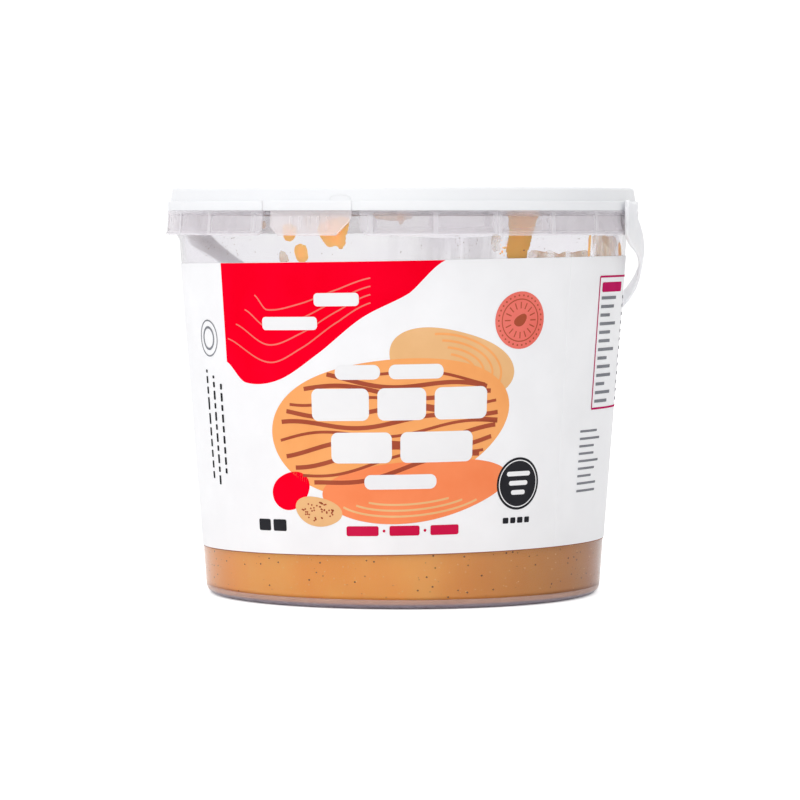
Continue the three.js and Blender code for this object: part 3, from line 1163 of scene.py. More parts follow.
# a patch on the inside of the wall: its outer face lies just in the plastic, its inner face is domed
def wallPatch(outline, thick, rings=5, ragged=0.0):
    count = len(outline)
    middle = tuple(sum(spot[k] for spot in outline) / count for k in (0, 1))
    reach = [1 + ragged * chance.uniform(-1, 1) for _ in range(count)]
    points, faces = [], []
    for domed in (False, True):
        depth = -thick if domed else patchShape["sunk"]
        points.append(onTub(middle[0], innerRadius(middle[1]) + depth, middle[1]))
        for ring in range(1, rings + 1):
            share = ring / rings
            for i, spot in enumerate(outline):
                stretch = share * (1 + (reach[i] - 1) * share)
                bearing, height = (middle[k] + (spot[k] - middle[k]) * stretch for k in (0, 1))
                if domed:
                    dome = math.sqrt(max(0, 1 - share ** patchShape["domePower"]))
                    depth = -thick * dome * (1 + patchShape["lumps"] * math.sin(3 * i + ring))
                points.append(onTub(bearing, innerRadius(height) + depth, height))
    size = 1 + rings * count
    for base in (0, size):
        for i in range(count):
            k = (i + 1) % count
            faces.append((base, base + 1 + i, base + 1 + k))
            for ring in range(rings - 1):
                here, there = base + 1 + ring * count, base + 1 + (ring + 1) * count
                faces.append((here + i, there + i, there + k, here + k))
    last = 1 + (rings - 1) * count
    for i in range(count):
        k = (i + 1) % count
        faces.append((last + i, last + k, size + last + k, size + last + i))
    return points, faces


def speckPatch(mark):
    p = patchShape
    pixel = [chance.uniform(mark["from"][k], mark["to"][k]) for k in (0, 1)]
    bearing, height = seenOnTub(pixel, innerRadius)
    size = chance.uniform(*mark["size"])
    turn = chance.uniform(0, 6)
    outline = []
    for i in range(p["speckSides"]):
        angle = turn + 2 * math.pi * i / p["speckSides"]
        reach = size * chance.uniform(*p["speckReach"])
        outline.append((bearing + reach * math.cos(angle) / arcDegree, height + reach * math.sin(angle)))
    return wallPatch(outline, size * p["speckThick"], rings=2)


def buildMarks():
    parts = {kind: [] for kind in markKinds}
    for mark in smearMarks.values():
        spots = [seenOnTub(pixel, innerRadius) for pixel in mark["pixels"]]
        outline = closedCurve(spots, patchShape["curveSteps"])
        ragged = 0.0 if mark["kind"] == "haze" else patchShape["ragged"]
        parts[mark["kind"]].append(wallPatch(outline, mark["thick"], ragged=ragged))
    for mark in speckMarks.values():
        for _ in range(mark["count"]):
            parts[mark["kind"]].append(speckPatch(mark))
    for kind, (name, material) in markKinds.items():
        points, faces = together(*parts[kind])
        piece = makeMesh(name, points, faces, material, sharp=70)
        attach(piece, "tub")


buildMarks()
print("marks on the wall are made")


# label

labelShape = {
    "bottom": 19.1,
    "top": 119.1,
    "wallHeights": (40, 70, 100),
    "meanRadius": 78.0,
    "gap": 0.03,
    "thickness": 0.24,
    "edgeBevel": 0.05,
    "tilt": 1.0,                   # higher on the right
    "dip": 2.0,                    # lower at the back
    "around": 360,
    "inkStep": 0.012,
    "columnStep": 1.2,
}
labelArc = math.radians(labelShape["meanRadius"])    # millimetres of label in one degree


def tiltedHeight(bearing, height):
    p, angle = labelShape, math.radians(bearing)
    tilted = height + p["meanRadius"] * math.sin(angle) * math.sin(math.radians(p["tilt"]))
    return tilted - p["dip"] * (0.5 - 0.5 * math.cos(angle)) ** 2


def labelSpot(arc, height, lift):
    bearing = arc / labelArc
    raised = tiltedHeight(bearing, height)
    return onTub(bearing, wallRadius(raised) + labelShape["gap"] + labelShape["thickness"] + lift, raised)


# a section at one bearing, from heights along the label and distances off the wall
def labelSection(bearing, spots):
    loop = []
    for height, off in spots:
        raised = tiltedHeight(bearing, height)
        loop.append((wallRadius(raised) + off, raised))
    return loop


def paperSection(bearing):
    p = labelShape
    back, front = p["gap"], p["gap"] + p["thickness"]
    return labelSection(bearing, [
        (p["bottom"], back),
        (p["bottom"], front - p["edgeBevel"]),
        (p["bottom"] + p["edgeBevel"], front),
        *((height, front) for height in p["wallHeights"]),
        (p["top"] - p["edgeBevel"], front),
        (p["top"], front - p["edgeBevel"]),
        (p["top"], back),
    ])


flapShape = {
    "start": 46.6,                 # where the outer end stops, and the inner end runs on under it
    "length": 7.0,
    "step": 0.1,
    "leastStep": 0.004,
    "inset": 0.02,
    "root": 0.05,
    "heights": (50, 90),
    "steps": 10,
}


# the label's end, lying over its beginning
def seamFlap():
    f = flapShape
    front = labelShape["gap"] + labelShape["thickness"]
    bottom, top = labelShape["bottom"] + f["inset"], labelShape["top"] - f["inset"]

    def section(bearing):
        share = (bearing - f["start"]) / f["length"]
        step = front + f["step"] * (1 - ease(share)) + f["leastStep"]
        heights = (bottom, *f["heights"], top)
        return labelSection(bearing, [
            (bottom, front - f["root"]),
            *((height, step) for height in heights),
            (top, front - f["root"]),
        ])

    bearings = [f["start"] + f["length"] * i / f["steps"] for i in range(f["steps"] + 1)]
    return sweepRound(bearings, section, closed=False)


creaseShape = {
    "bearing": -15.2,
    "from": 20.5,
    "to": 33,
    "width": 0.5,
    "height": 0.05,
    "profile": ((-1, -0.01), (-0.4, 0.7), (0, 1), (0.4, 0.7), (1, -0.01)),    # shares of width and height
    "steps": 10,
}


def creaseRidge():
    c = creaseShape
    points, faces = [], []
    for i in range(c["steps"] + 1):
        height = c["from"] + (c["to"] - c["from"]) * i / c["steps"]
        fade = 1 - (i / c["steps"]) ** 2
        for across, lift in c["profile"]:
            arc = c["bearing"] * labelArc + across * c["width"]
            points.append(labelSpot(arc, height, c["height"] * fade * lift))
    size = len(c["profile"])
    for i in range(c["steps"]):
        for j in range(size - 1):
            here, there = i * size + j, (i + 1) * size + j
            faces.append((here, here + 1, there + 1, there))
    return points, faces


# the painted shadow's ring: how far it reaches below and above the label's lower edge, and how thick it is
edgeShadowShape = {"below": 0.28, "above": 0.1, "off": 0.01, "lowThick": 0.06, "highThick": 0.14}


# painted shadow: a fine dark line along the label's cut lower edge and just below it, where the edge shades
# the wall
def edgeShadow(bearing):
    c = edgeShadowShape
    low, high = labelShape["bottom"] - c["below"], labelShape["bottom"] + c["above"]
    return labelSection(bearing, [
        (low, c["off"]),
        (low, c["off"] + c["lowThick"]),
        (high, c["off"] + c["highThick"]),
        (high, c["off"]),
    ])


def buildLabel():
    bearings = allRound(labelShape["around"])
    paper = together(sweepRound(bearings, paperSection), seamFlap(), creaseRidge())
    for name, (points, faces), material in (
        ("label.paper", paper, paperMaterial),
        ("label.edgeShadow", sweepRound(bearings, edgeShadow), edgeShadowMaterial),
    ):
        piece = makeMesh(name, points, faces, material)
        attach(piece, "tub")
        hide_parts("label")


buildLabel()
print("label is wrapped")


# print on the label: plain fields of ink, drawn in millimetres along the label and up from the tub's foot

inkColors = {
    "red": ((240, 0, 32), (246, 2, 40)),
    "amber": ((238, 160, 96), (245, 172, 108)),
    "tan": ((226, 176, 122), (234, 186, 134)),
    "orange": ((240, 132, 84), (246, 144, 96)),
    "brown": ((158, 74, 52), (172, 86, 62)),
    "coral": ((228, 110, 98), (234, 122, 110)),
    "white": ((232, 232, 234), (237, 237, 238)),
    "crimson": ((196, 22, 66), (204, 32, 76)),
    "magenta": ((184, 30, 90), (194, 42, 102)),
    "black": ((38, 38, 42), (48, 48, 52)),
    "grey": ((120, 122, 128), (136, 138, 144)),
}
inkMaterials = {name: paperFinish("ink." + name, *colors) for name, colors in inkColors.items()}
inked = {name: [] for name in inkColors}


# a field between a lower and an upper edge, given as (arc, low, high) columns; a higher layer lies on a lower
def inkField(ink, columns, layer):
    rows = []
    for first, second in zip(columns, columns[1:]):
        steps = max(1, math.ceil(abs(second[0] - first[0]) / labelShape["columnStep"]))
        for i in range(steps):
            rows.append([a + (b - a) * (i / steps) for a, b in zip(first, second)])
    rows.append(columns[-1])
    lift = layer * labelShape["inkStep"]
    points = []
    for arc, low, high in rows:
        points += [labelSpot(arc, low, lift), labelSpot(arc, high, lift)]
    faces = [(2 * i, 2 * i + 2, 2 * i + 3, 2 * i + 1) for i in range(len(rows) - 1)]
    inked[ink].append((points, faces))


# a smooth run of heights through a few (arc, height) knots
def smoothEdge(knots, arcs):
    heights = []
    for arc in arcs:
        i = max(k for k in range(len(knots) - 1) if knots[k][0] <= arc or k == 0)
        (start, b), (end, c) = knots[i], knots[i + 1]
        a = knots[i - 1][1] if i else b
        d = knots[i + 2][1] if i + 2 < len(knots) else c
        heights.append(curveAt(a, b, c, d, (arc - start) / (end - start)))
    return heights


def inkBetween(ink, lower, upper, layer):
    start, end = lower[0][0], lower[-1][0]
    count = math.ceil((end - start) / labelShape["columnStep"])
    arcs = [start + (end - start) * i / count for i in range(count + 1)]
    lows, highs = smoothEdge(lower, arcs), smoothEdge(upper, arcs)
    inkField(ink, [(arc, low, max(low, high)) for arc, low, high in zip(arcs, lows, highs)], layer)


# an uneven oval; wobble gives the depth of its second and third waves
def inkPebble(ink, middle, size, tilt=0, layer=7, wobble=(0, 0), sides=120, steps=60):
    outline = []
    for i in range(sides):
        angle = 2 * math.pi * i / sides
        reach = 1 + wobble[0] * math.sin(2 * angle + 1.1) + wobble[1] * math.sin(3 * angle + 0.4)
        spot = (size[0] * reach * math.cos(angle), size[1] * reach * math.sin(angle))
        x, y = turned(spot, math.radians(tilt))
        outline.append((middle[0] + x, middle[1] + y))
    left, right = min(spot[0] for spot in outline), max(spot[0] for spot in outline)
    columns = []
    for i in range(steps + 1):
        arc = (left + right) / 2 - (right - left) / 2 * math.cos(math.pi * i / steps)
        arc = min(max(arc, left + 0.01), right - 0.01)
        crossings = []
        for (xa, ya), (xb, yb) in zip(outline, outline[1:] + outline[:1]):
            if (xa <= arc) != (xb <= arc):
                crossings.append(ya + (yb - ya) * (arc - xa) / (xb - xa))
        columns.append((arc, min(crossings), max(crossings)))
    inkField(ink, columns, layer)


# a bar with round corners, or round ends where no corner is given
def inkBar(ink, arcs, heights, layer=7, corner=None, steps=6):
    (start, end), (low, high) = arcs, heights
    corner = (high - low) / 2 if corner is None else corner
    columns = []
    for i in range(steps + 1):
        away = corner * (1 - math.cos(math.pi * i / (2 * steps)))
        cut = corner - math.sqrt(max(0, corner ** 2 - (corner - away) ** 2))
        columns.append((start + away, low + cut, high - cut))
    mirrored = [(start + end - arc, lower, upper) for arc, lower, upper in reversed(columns)]
    inkField(ink, columns + mirrored, layer)


# a line of even width through the given spots
def inkLine(ink, spots, width, layer):
    points = []
    lift = layer * labelShape["inkStep"]
    for i, (arc, height) in enumerate(spots):
        before, after = spots[max(0, i - 1)], spots[min(len(spots) - 1, i + 1)]
        run, climb = after[0] - before[0], after[1] - before[1]
        length = math.hypot(run, climb) or 1
        x, y = -climb / length * width / 2, run / length * width / 2
        points += [labelSpot(arc + x, height + y, lift), labelSpot(arc - x, height - y, lift)]
    faces = [(2 * i, 2 * i + 1, 2 * i + 3, 2 * i + 2) for i in range(len(spots) - 1)]
    inked[ink].append((points, faces))


def arcSpots(middle, size, start, end, tilt=0):
    length = math.radians(abs(end - start)) * max(size)
    count = max(6, math.ceil(length / 1.1))
    spots = []
    for i in range(count + 1):
        angle = math.radians(start + (end - start) * i / count)
        x, y = turned((size[0] * math.cos(angle), size[1] * math.sin(angle)), math.radians(tilt))
        spots.append((middle[0] + x, middle[1] + y))
    return spots


def inkRing(ink, middle, radius, width, layer):
    inkLine(ink, arcSpots(middle, (radius, radius), 0, 360), width, layer)


def evenRun(start, end, steps):
    return [start + (end - start) * i / steps for i in range(steps + 1)]


def around(middle, reach, angle):
    return (middle[0] + reach * math.cos(angle), middle[1] + reach * math.sin(angle))


redField = {
    "topEdge": 119.0,
    "lower": [(-71.5, 85), (-62, 78), (-46, 79), (-30, 88), (-14, 100), (2, 108), (14, 118.9)],
    "waves": 4,
    "waveKnots": ((-70, 93), (-50, 85), (-36, 90), (-22, 99), (-11, 105)),
    "waveSteps": ((5, 5), (0, 6), (0, 5), (0, 3.6), (0, 2.8)),    # how each knot moves from wave to wave
    "waveWidth": 0.5,
    "waveClear": 0.6,              # below the top edge
}


# the red field, with paler waves in it
def inkRedField():
    r = redField
    top = r["topEdge"]
    inkBetween("red", r["lower"], [(arc, top) for arc, _ in r["lower"]], layer=1)
    for i in range(r["waves"]):
        pairs = zip(r["waveKnots"], r["waveSteps"])
        knots = [(knot[0] + step[0] * i, knot[1] + step[1] * i) for knot, step in pairs]
        arcs = evenRun(knots[0][0], knots[-1][0], steps=64)
        spots = zip(arcs, smoothEdge(knots, arcs))
        spots = [(arc, height) for arc, height in spots if height < top - r["waveClear"]]
        if len(spots) > 4:
            inkLine("coral", spots, r["waveWidth"], layer=2)


pebbles = {
    "tan": {"ink": "tan", "middle": (17, 83), "size": (22, 13), "tilt": -14,
            "layer": 3, "wobble": (0.04, 0.05)},
    "amber": {"ink": "amber", "middle": (-6, 63), "size": (43, 24), "tilt": 6,
              "layer": 4, "wobble": (0.04, 0.03)},
    "orange": {"ink": "orange", "middle": (4, 41), "size": (33, 11), "tilt": 4,
               "layer": 5, "wobble": (0.05, 0.05)},
    "smallRed": {"ink": "red", "middle": (-43, 41), "size": (8, 6.5), "tilt": 20,
                 "layer": 4, "wobble": (0.05, 0.03)},
    "smallTan": {"ink": "tan", "middle": (-32, 34), "size": (9, 5.2), "tilt": -10,
                 "layer": 6, "wobble": (0.04, 0.04)},
}
brownWaves = {
    "count": 11,
    "arcs": (-50, 38),
    "lowest": 40,
    "apart": 4.6,
    "slope": (0.17, -0.0275),      # of the lowest, and what each one up adds
    "depth": 1.6,
    "length": 8.5,
    "turn": 1.3,
    "share": 0.9,                  # of the amber oval that they fill
    "widths": (1.5, 1.0, 1.5),
    "layer": 6,
}
fieldArcs = {
    "tan": {"ink": "amber", "count": 4, "size": (18.5, 10.5), "shrink": (3.4, 2.2),
            "angles": (-10, 118), "shorten": (0, -6), "width": 0.8, "layer": 5},
    "orange": {"ink": "tan", "count": 3, "size": (29, 8.6), "shrink": (4, 2.0),
               "angles": (205, 322), "shorten": (6, -8), "width": 0.7, "layer": 6},
}
crumbs = {"count": 46, "spread": 0.8, "reach": (8, 4.2), "size": (0.35, 0.3)}


# the part of a line of spots that lies inside a pebble
def insidePebble(spots, pebble, share):
    kept = []
    for arc, height in spots:
        spot = (arc - pebble["middle"][0], height - pebble["middle"][1])
        x, y = turned(spot, -math.radians(pebble["tilt"]))
        if (x / pebble["size"][0]) ** 2 + (y / pebble["size"][1]) ** 2 < share:
            kept.append((arc, height))
    return kept


# ovals in warm tones, with brown waves, arcs and crumbs on them
def inkPebbles():
    for pebble in pebbles.values():
        inkPebble(**pebble)
    w = brownWaves
    for i in range(w["count"]):    # they fan out over the amber oval
        slope = w["slope"][0] + w["slope"][1] * i
        spots = []
        for arc in evenRun(*w["arcs"], steps=119):
            wave = w["depth"] * math.sin(arc / w["length"] + w["turn"] * i)
            spots.append((arc, w["lowest"] + w["apart"] * i + slope * (arc - w["arcs"][0]) + wave))
        spots = insidePebble(spots, pebbles["amber"], w["share"])
        if len(spots) > 4:
            inkLine("brown", spots, w["widths"][i % 3], w["layer"])
    for name, a in fieldArcs.items():
        middle, tilt = pebbles[name]["middle"], pebbles[name]["tilt"]
        for i in range(a["count"]):
            size = [a["size"][k] - a["shrink"][k] * i for k in (0, 1)]
            start, end = (a["angles"][k] + a["shorten"][k] * i for k in (0, 1))
            inkLine(a["ink"], arcSpots(middle, size, start, end, tilt), a["width"], a["layer"])
    middle = pebbles["smallTan"]["middle"]
    for _ in range(crumbs["count"]):
        angle, reach = chance.uniform(0, 6.28), math.sqrt(chance.random()) * crumbs["spread"]
        x, y = crumbs["reach"][0] * math.cos(angle), crumbs["reach"][1] * math.sin(angle)
        inkPebble("brown", (middle[0] + x * reach, middle[1] + y * reach), crumbs["size"])


# arcs are the ends of each bar along the label
bars = {
    "topBlocks": {"ink": "white", "arcs": ((-24, -8), (-5, 14)), "heights": (79, 84),
                  "layer": 8, "corner": 2.4},
    "bigBlocks": {"ink": "white", "arcs": ((-33, -12), (-9, 8), (11, 30)), "heights": (65, 76),
                  "layer": 8, "corner": 2.4},
    "lowBlocks": {"ink": "white", "arcs": ((-26, -4), (-1, 25)), "heights": (50.5, 61),
                  "layer": 8, "corner": 2.4},
    "lastBlock": {"ink": "white", "arcs": ((-14, 12),), "heights": (41.5, 46.5), "layer": 8, "corner": 2.4},
    "redFieldLow": {"ink": "white", "arcs": ((-52, -30),), "heights": (96, 100.5), "layer": 8, "corner": 1.4},
    "redFieldHigh": {"ink": "white", "arcs": ((-31, -15),), "heights": (104, 108.5),
                     "layer": 8, "corner": 1.4},
    "leftDashes": {"ink": "black", "arcs": ((-58.5, -52.8), (-51.5, -45.5)),
                   "heights": (27, 31), "corner": 0.6},
    "lowDashes": {"ink": "crimson", "arcs": ((-21, -9), (-5, 6), (10, 20.5)),
                  "heights": (25.6, 29), "corner": 0.7},
    "rightDashes": {"ink": "black", "arcs": ((38, 40.4), (41.2, 43.4), (44.2, 46.6), (47.4, 49.6)),
                    "heights": (28.4, 30.4), "corner": 0.4},
}
dots = {"ink": "crimson", "arcs": (-7, 8), "height": 27.3, "size": (0.5, 0.5)}


def inkBars():
    for group in bars.values():
        low, high = group["heights"]
        corner = min(group["corner"], (high - low) / 2.2)
        for arcs in group["arcs"]:
            inkBar(group["ink"], arcs, (low, high), group.get("layer", 7), corner)
    for arc in dots["arcs"]:
        inkPebble(dots["ink"], (arc, dots["height"]), dots["size"])


coralBadge = {
    "middle": (42, 98),
    "radius": 9.8,
    "ring": {"inset": 2.6, "width": 0.35},
    "rays": {"count": 16, "reach": (4.0, 6.2), "width": 0.4},
    "dots": {"count": 30, "inset": 1.3, "size": (0.32, 0.32)},
    "pebble": {"size": (2.6, 1.9), "tilt": 30, "wobble": (0.05, 0.05)},
}
darkBadge = {
    "middle": (44, 42),
    "radius": 9.0,
    "ring": {"inset": 1.0, "width": 0.35},
    "bars": {"count": 3, "half": 5, "shorten": 1, "top": 2.6, "step": 3.2, "thick": 1.6},
}
greyRings = {"middle": (-83, 93), "rings": ((6.2, 0.5), (3.8, 0.8))}    # radius and width


# a disc with a ring near its edge
def inkDisc(badge, ink, ringInk):
    inkPebble(ink, badge["middle"], (badge["radius"], badge["radius"]))
    ring = badge["ring"]
    inkRing(ringInk, badge["middle"], badge["radius"] - ring["inset"], ring["width"], layer=8)


# a coral disc with short rays round a plain pebble, and a dark disc with three bars
def inkBadges():
    inkDisc(coralBadge, "coral", "brown")
    middle, rays, spots = coralBadge["middle"], coralBadge["rays"], coralBadge["dots"]
    for i in range(rays["count"]):
        angle = 2 * math.pi * i / rays["count"]
        inkLine("brown", [around(middle, reach, angle) for reach in rays["reach"]], rays["width"], layer=8)
    inkPebble("brown", middle, layer=8, **coralBadge["pebble"])
    for i in range(spots["count"]):
        spot = around(middle, coralBadge["radius"] - spots["inset"], 2 * math.pi * i / spots["count"])
        inkPebble("brown", spot, spots["size"], layer=8)
    inkDisc(darkBadge, "black", "white")
    middle, b = darkBadge["middle"], darkBadge["bars"]
    for i in range(b["count"]):
        half, height = b["half"] - b["shorten"] * i, middle[1] + b["top"] - b["step"] * i
        inkBar("white", (middle[0] - half, middle[0] + half), (height, height + b["thick"]), layer=8)
    for radius, width in greyRings["rings"]:
        inkRing("grey", greyRings["middle"], radius, width, layer=7)


tableShape = {
    "arcs": (82, 122),
    "heights": (66, 112),
    "line": 0.7,
    "inset": 2,
    "head": {"length": 22, "thick": 3.4, "corner": 0.8},
    "rows": {"count": 13, "step": 3, "thick": 1.1, "corner": 0.2},
    "wordEnds": {"length": 14, "vary": 4, "turn": 2.3},
    "numbers": (-10, -3),          # from the table's right side
}
fineLines = {
    "below": {"count": 9, "start": 75, "end": 88, "vary": 3, "turn": 1.9,
              "top": 58, "step": 2.6, "thick": 0.8},
    "upright": ((-87, 44, 82), (-82, 42, 80), (-77, 46, 78)),    # arc, low and high
    "dash": {"thick": 1.3, "length": 3.4, "vary": 1.6, "turn": 1.7, "gap": 1.2, "corner": 0.3},
}


# a framed table of plain bars beside the seam, with fine lines below it
def inkTable():
    box, rows, ends, head = tableShape, tableShape["rows"], tableShape["wordEnds"], tableShape["head"]
    (left, right), (low, high) = box["arcs"], box["heights"]
    for edge in box["arcs"]:
        inkLine("magenta", [(edge, height) for height in evenRun(low, high, steps=12)], box["line"], layer=7)
    for edge in box["heights"]:
        inkLine("magenta", [(arc, edge) for arc in evenRun(left, right, steps=36)], box["line"], layer=7)
    start, top = left + box["inset"], high - box["inset"]
    inkBar("magenta", (start, start + head["length"]), (top - head["thick"], top), corner=head["corner"])
    for row in range(rows["count"]):
        height = low + box["inset"] + row * rows["step"]
        heights = (height, height + rows["thick"])
        end = left + ends["length"] + ends["vary"] * math.sin(row * ends["turn"])
        inkBar("grey", (start, end), heights, corner=rows["corner"])
        inkBar("grey", [right + number for number in box["numbers"]], heights, corner=rows["corner"])
    f = fineLines["below"]
    for row in range(f["count"]):
        height, end = f["top"] - row * f["step"], f["end"] + f["vary"] * math.sin(row * f["turn"])
        inkBar("grey", (f["start"], end), (height, height + f["thick"]), corner=rows["corner"])


# upright lines of short dashes at the left
def inkUprights():
    d = fineLines["dash"]
    for line, (arc, low, high) in enumerate(fineLines["upright"]):
        height = low
        while height < high:
            length = d["length"] + d["vary"] * math.sin(height * d["turn"] + line)
            inkBar("black", (arc, arc + d["thick"]), (height, min(high, height + length)), corner=d["corner"])
            height += length + d["gap"]


def drawPrint():
    inkRedField()
    inkPebbles()
    inkBars()
    inkBadges()
    inkTable()
    inkUprights()
    for ink, parts in inked.items():
        points, faces = together(*parts)
        piece = makeMesh("print." + ink, points, faces, inkMaterials[ink])
        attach(piece, "tub")


drawPrint()
print("label is printed")


# handle, drawn flat with the pivot axis on x and the loop towards y, then hung behind the tub

handleShape = {
    "sideRadius": 84.8,
    "backRadius": 91.2,
    "thickness": 1.25,
    "width": 6.8,
    "earSides": (-6.0, 5.2),       # upright at rest: front and back from the pivot
    "earTop": 5.9,                 # above the pivot
    "gusset": ((-2.0, 8.0), (4.0, 8.2), (12.0, 6.2), (20.0, 4.3), (27.0, 3.4)),
    "cornerSoft": 1.6,             # the ear's corners
    "strapSoft": 1.2,              # where the ear's back runs into the strap
    "edge": 0.3,
    "edgeTurns": (0, 0.5, 1.05, 1.57),    # radians
    "grooves": 4,
    "grooveDepth": 0.3,
    "grooveSharp": 1.6,
    "grooveReach": 0.93,           # of half the width
    "grooveFade": (14, 14),        # where the grooves start along the strap, and how long they deepen
    "across": 40,
    "drop": 30.0,
    "pivotHeight": 133.0,
    "pivotBearing": 69.0,
    "steps": 150,
    "earSteps": (-7.35, -7.3, -7.1, -6.8, -6.3, -5.7, -5.0, -4.2, -3.4, -2.7, -2.0, -1.2, -0.5),
}
pegShape = {
    "radius": 1.36,                # clear of the flange above it
    "tip": 80.65,
    "bevel": 0.3,
    "root": 0.5,                   # into the ear
    "inside": 0.05,                # where the bevel at the ear ends
    "sides": 32,
}


# the lesser of two, rounded where they cross
def softLeast(a, b, soft):
    return min(a, b) - max(soft - abs(a - b), 0) ** 2 / (4 * soft)


# lower and upper edge of the strap's side, at a distance along it from the pivot
def strapEdges(along):
    h = handleShape
    front, back = h["earSides"]
    sine, cosine = math.sin(math.radians(h["drop"])), math.cos(math.radians(h["drop"]))
    half = h["width"] / 2
    topLine = (h["earTop"] + along * sine) / cosine
    backLine = (back - along * cosine) / sine
    upper = -softLeast(-half, -softLeast(topLine, backLine, h["cornerSoft"]), h["strapSoft"])
    frontLine = (along * cosine - front) / sine
    knots = [(-spot[0], spot[1]) for spot in reversed(h["gusset"])]
    (first, widest), (last, _) = h["gusset"][0], h["gusset"][-1]
    under = widest if along < first else half
    if first <= along <= last:
        under = smoothEdge(knots, [-along])[0]
    return -softLeast(frontLine, under, h["cornerSoft"]), upper


# a section of the strap, as (across, out) points: flat inside, grooved outside, with round edges
def strapSection(lower, upper, grooved):
    h = handleShape
    edge, thick = min(h["edge"], (upper - lower) / 3), h["thickness"]
    middle, half = (lower + upper) / 2, (upper - lower) / 2 - edge
    turns, later = h["edgeTurns"][:3], h["edgeTurns"][1:]
    low, high = lower + edge, upper - edge
    loop = [(low, 0), (middle, 0), (high, 0)]
    loop += [(high + edge * math.sin(a), edge - edge * math.cos(a)) for a in later]
    loop += [(high + edge * math.cos(a), thick - edge + edge * math.sin(a)) for a in turns]
    for i in range(h["across"] + 1):
        side = 1 - 2 * i / h["across"]
        wave = 0.5 - 0.5 * math.cos(math.pi * (side + 1) * h["grooves"])
        depth = h["grooveDepth"] * grooved * (1 - ease(wave * h["grooveSharp"]))
        loop.append((middle + half * side, thick - (depth if abs(side) < h["grooveReach"] else 0)))
    loop += [(low - edge * math.sin(a), thick - edge + edge * math.cos(a)) for a in later]
    loop += [(low - edge * math.cos(a), edge - edge * math.sin(a)) for a in turns]
    return loop


# places along the strap: x, y, the way out from the loop, and the distance from the pivot
def strapStations():
    side, back, steps = handleShape["sideRadius"], handleShape["backRadius"], handleShape["steps"]
    stations = [(side, along, 1, 0, along) for along in handleShape["earSteps"]]
    for i in range(steps + 1):
        angle = math.pi * i / steps
        x, y = math.cos(angle), math.sin(angle)
        length = math.hypot(x / side, y / back)
        stations.append((side * x, back * y, x / side / length, y / back / length, back * y))
    return stations + [(-side, along, -1, 0, along) for along in reversed(handleShape["earSteps"])]


def buildHandle():
    h, p = handleShape, pegShape
    points = []
    stations = strapStations()
    for x, y, outX, outY, along in stations:
        fade = ease((along - h["grooveFade"][0]) / h["grooveFade"][1])
        section = strapSection(*strapEdges(along), fade)
        points += [(x + outX * out, y + outY * out, across) for across, out in section]
    faces = skin(len(stations), len(section), closed=False)
    root = h["sideRadius"] + p["root"]
    pegSection = [
        (root, 0),
        (root, p["radius"] + p["bevel"]),
        (h["sideRadius"] - p["inside"], p["radius"]),
        (p["tip"] + p["bevel"], p["radius"]),
        (p["tip"], p["radius"] - p["bevel"]),
        (p["tip"], 0),
    ]
    pegs = [radialRing(bearing, 0, pegSection, p["sides"]) for bearing in (90, 270)]
    points, faces = together((points, faces), *pegs)
    lifted = Matrix.Translation((0, 0, h["pivotHeight"] * metres))
    swung = Matrix.Rotation(math.radians(h["pivotBearing"] - 90), 4, "Z")
    dropped = Matrix.Rotation(-math.radians(h["drop"]), 4, "X")
    piece = makeMesh("strapHandle", points, faces, strapMaterial, sharp=40, place=lifted @ swung @ dropped)
    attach(piece, "handle")
    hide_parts("handle")


buildHandle()
print("handle is hung")


# floor and light

studio = {
    "floorSize": 6000.0,
    "floorSteps": 24,
    "floorTones": ((245, 245, 246), (249, 249, 249)),
    "floorSeen": 0.45,             # more light for the camera alone, so that the floor stays white by the tub
    "skyLeft": 1.14,
    "skyRight": 0.42,
    "skySides": (-0.1, 0.9),       # how far to the right the brightness changes, as a share of the way out
    "farLeftDim": 0.26,
    "farLeft": (-0.3, -0.95),
    "skyBack": 0.95,
    "behind": (0.4, 0.85),
    "skyTop": 1.45,
    "above": (0.45, 0.9),
    "skySeen": 1.15,
    "keyPower": 2.0,
    "keyPlace": (-900, -1300, 900),
    "keyAim": (0, 0, 70),
    "keySize": 0.8,
}


def buildFloor():
    half, steps = studio["floorSize"] / 2, studio["floorSteps"]
    lines = evenRun(-half, half, steps)
    points = [(x, y, 0) for x in lines for y in lines]
    faces = []
    for i in range(steps):
        for j in range(steps):
            here = i * (steps + 1) + j
            faces.append((here, here + steps + 1, here + steps + 2, here + 1))
    finish = Finish("paleFloor")
    finish.set(IOR=1.4, Emission_Color=(1, 1, 1, 1))
    finish.feed(finish.tones(finish.noise(scale=3, detail=3), *studio["floorTones"]), "Base Color")
    finish.feed(finish.between(finish.noise(scale=40, detail=3), low=0.75, high=0.85), "Roughness")
    path = finish.tree.nodes.new("ShaderNodeLightPath")
    seen = finish.between(path.outputs["Is Camera Ray"], 0, studio["floorSeen"], 0, 1)
    finish.feed(seen, "Emission Strength")
    floor = makeMesh("studioFloor", points, faces, finish.material)


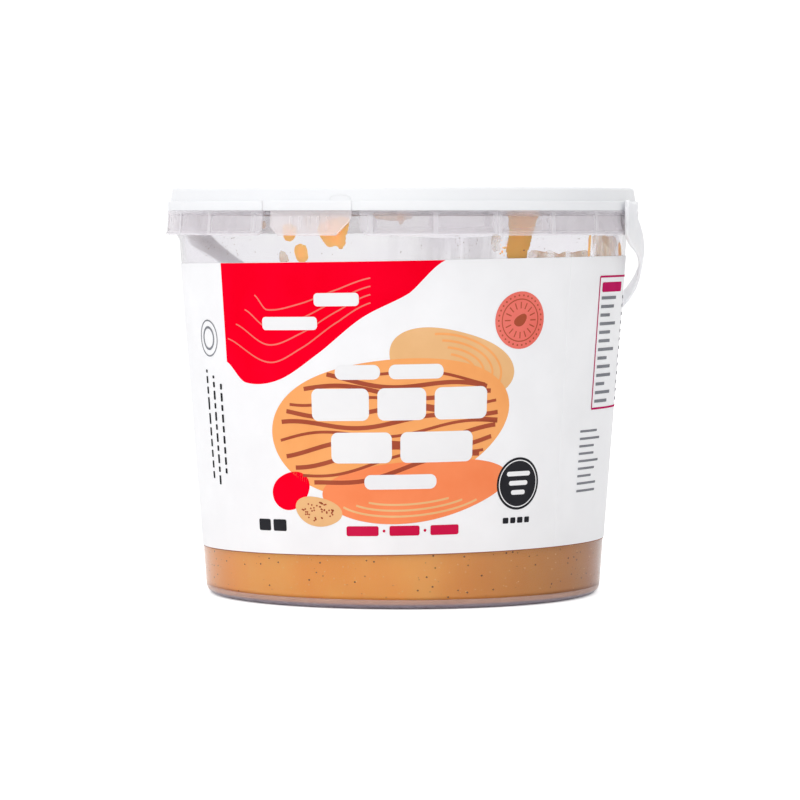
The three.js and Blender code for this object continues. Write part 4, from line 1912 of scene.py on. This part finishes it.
# the sky is bright at the left and dim at the right, with its own brightness behind, above and for the camera
def buildSky():
    world = bpy.data.worlds.new("studioSky")
    scene.world = world
    world.use_nodes = True
    nodes, links = world.node_tree.nodes, world.node_tree.links
    split = nodes.new("ShaderNodeSeparateXYZ")
    links.new(nodes.new("ShaderNodeTexCoord").outputs["Generated"], split.inputs["Vector"])

    def between(axis, span, low=0.0, high=1.0):
        node = nodes.new("ShaderNodeMapRange")
        node.inputs["From Min"].default_value, node.inputs["From Max"].default_value = span
        node.inputs["To Min"].default_value = low
        node.inputs["To Max"].default_value = high
        links.new(split.outputs[axis], node.inputs["Value"])
        return node

    def blend(share, first, brightness):
        node = nodes.new("ShaderNodeMix")
        links.new(share, node.inputs["Factor"])
        links.new(first, node.inputs["A"])
        node.inputs["B"].default_value = brightness
        return node.outputs["Result"]

    across = between("X", studio["skySides"], studio["skyLeft"], studio["skyRight"])
    across.interpolation_type = "SMOOTHSTEP"
    farLeft = between("X", studio["farLeft"], 0.0, studio["farLeftDim"])
    dimmed = nodes.new("ShaderNodeMath")
    dimmed.operation = "SUBTRACT"
    links.new(across.outputs["Result"], dimmed.inputs[0])
    links.new(farLeft.outputs["Result"], dimmed.inputs[1])
    brightness = dimmed.outputs["Value"]
    brightness = blend(between("Y", studio["behind"]).outputs["Result"], brightness, studio["skyBack"])
    brightness = blend(between("Z", studio["above"]).outputs["Result"], brightness, studio["skyTop"])
    seen = nodes.new("ShaderNodeLightPath")
    brightness = blend(seen.outputs["Is Camera Ray"], brightness, studio["skySeen"])
    nodes["Background"].inputs["Color"].default_value = (1, 1, 1, 1)
    links.new(brightness, nodes["Background"].inputs["Strength"])


def hangLight():
    light = bpy.data.objects.new("keyLight", bpy.data.lights.new("keyLight", "AREA"))
    light.data.energy = studio["keyPower"]
    light.data.size = studio["keySize"]
    light.location = Vector(studio["keyPlace"]) * metres
    aim = Vector(studio["keyAim"]) * metres - light.location
    light.rotation_euler = aim.to_track_quat("-Z", "Y").to_euler()
    scene.collection.objects.link(light)


buildFloor()
buildSky()
hangLight()
scene.view_settings.view_transform = "Standard"
scene.view_settings.look = "None"
print("studio is lit")
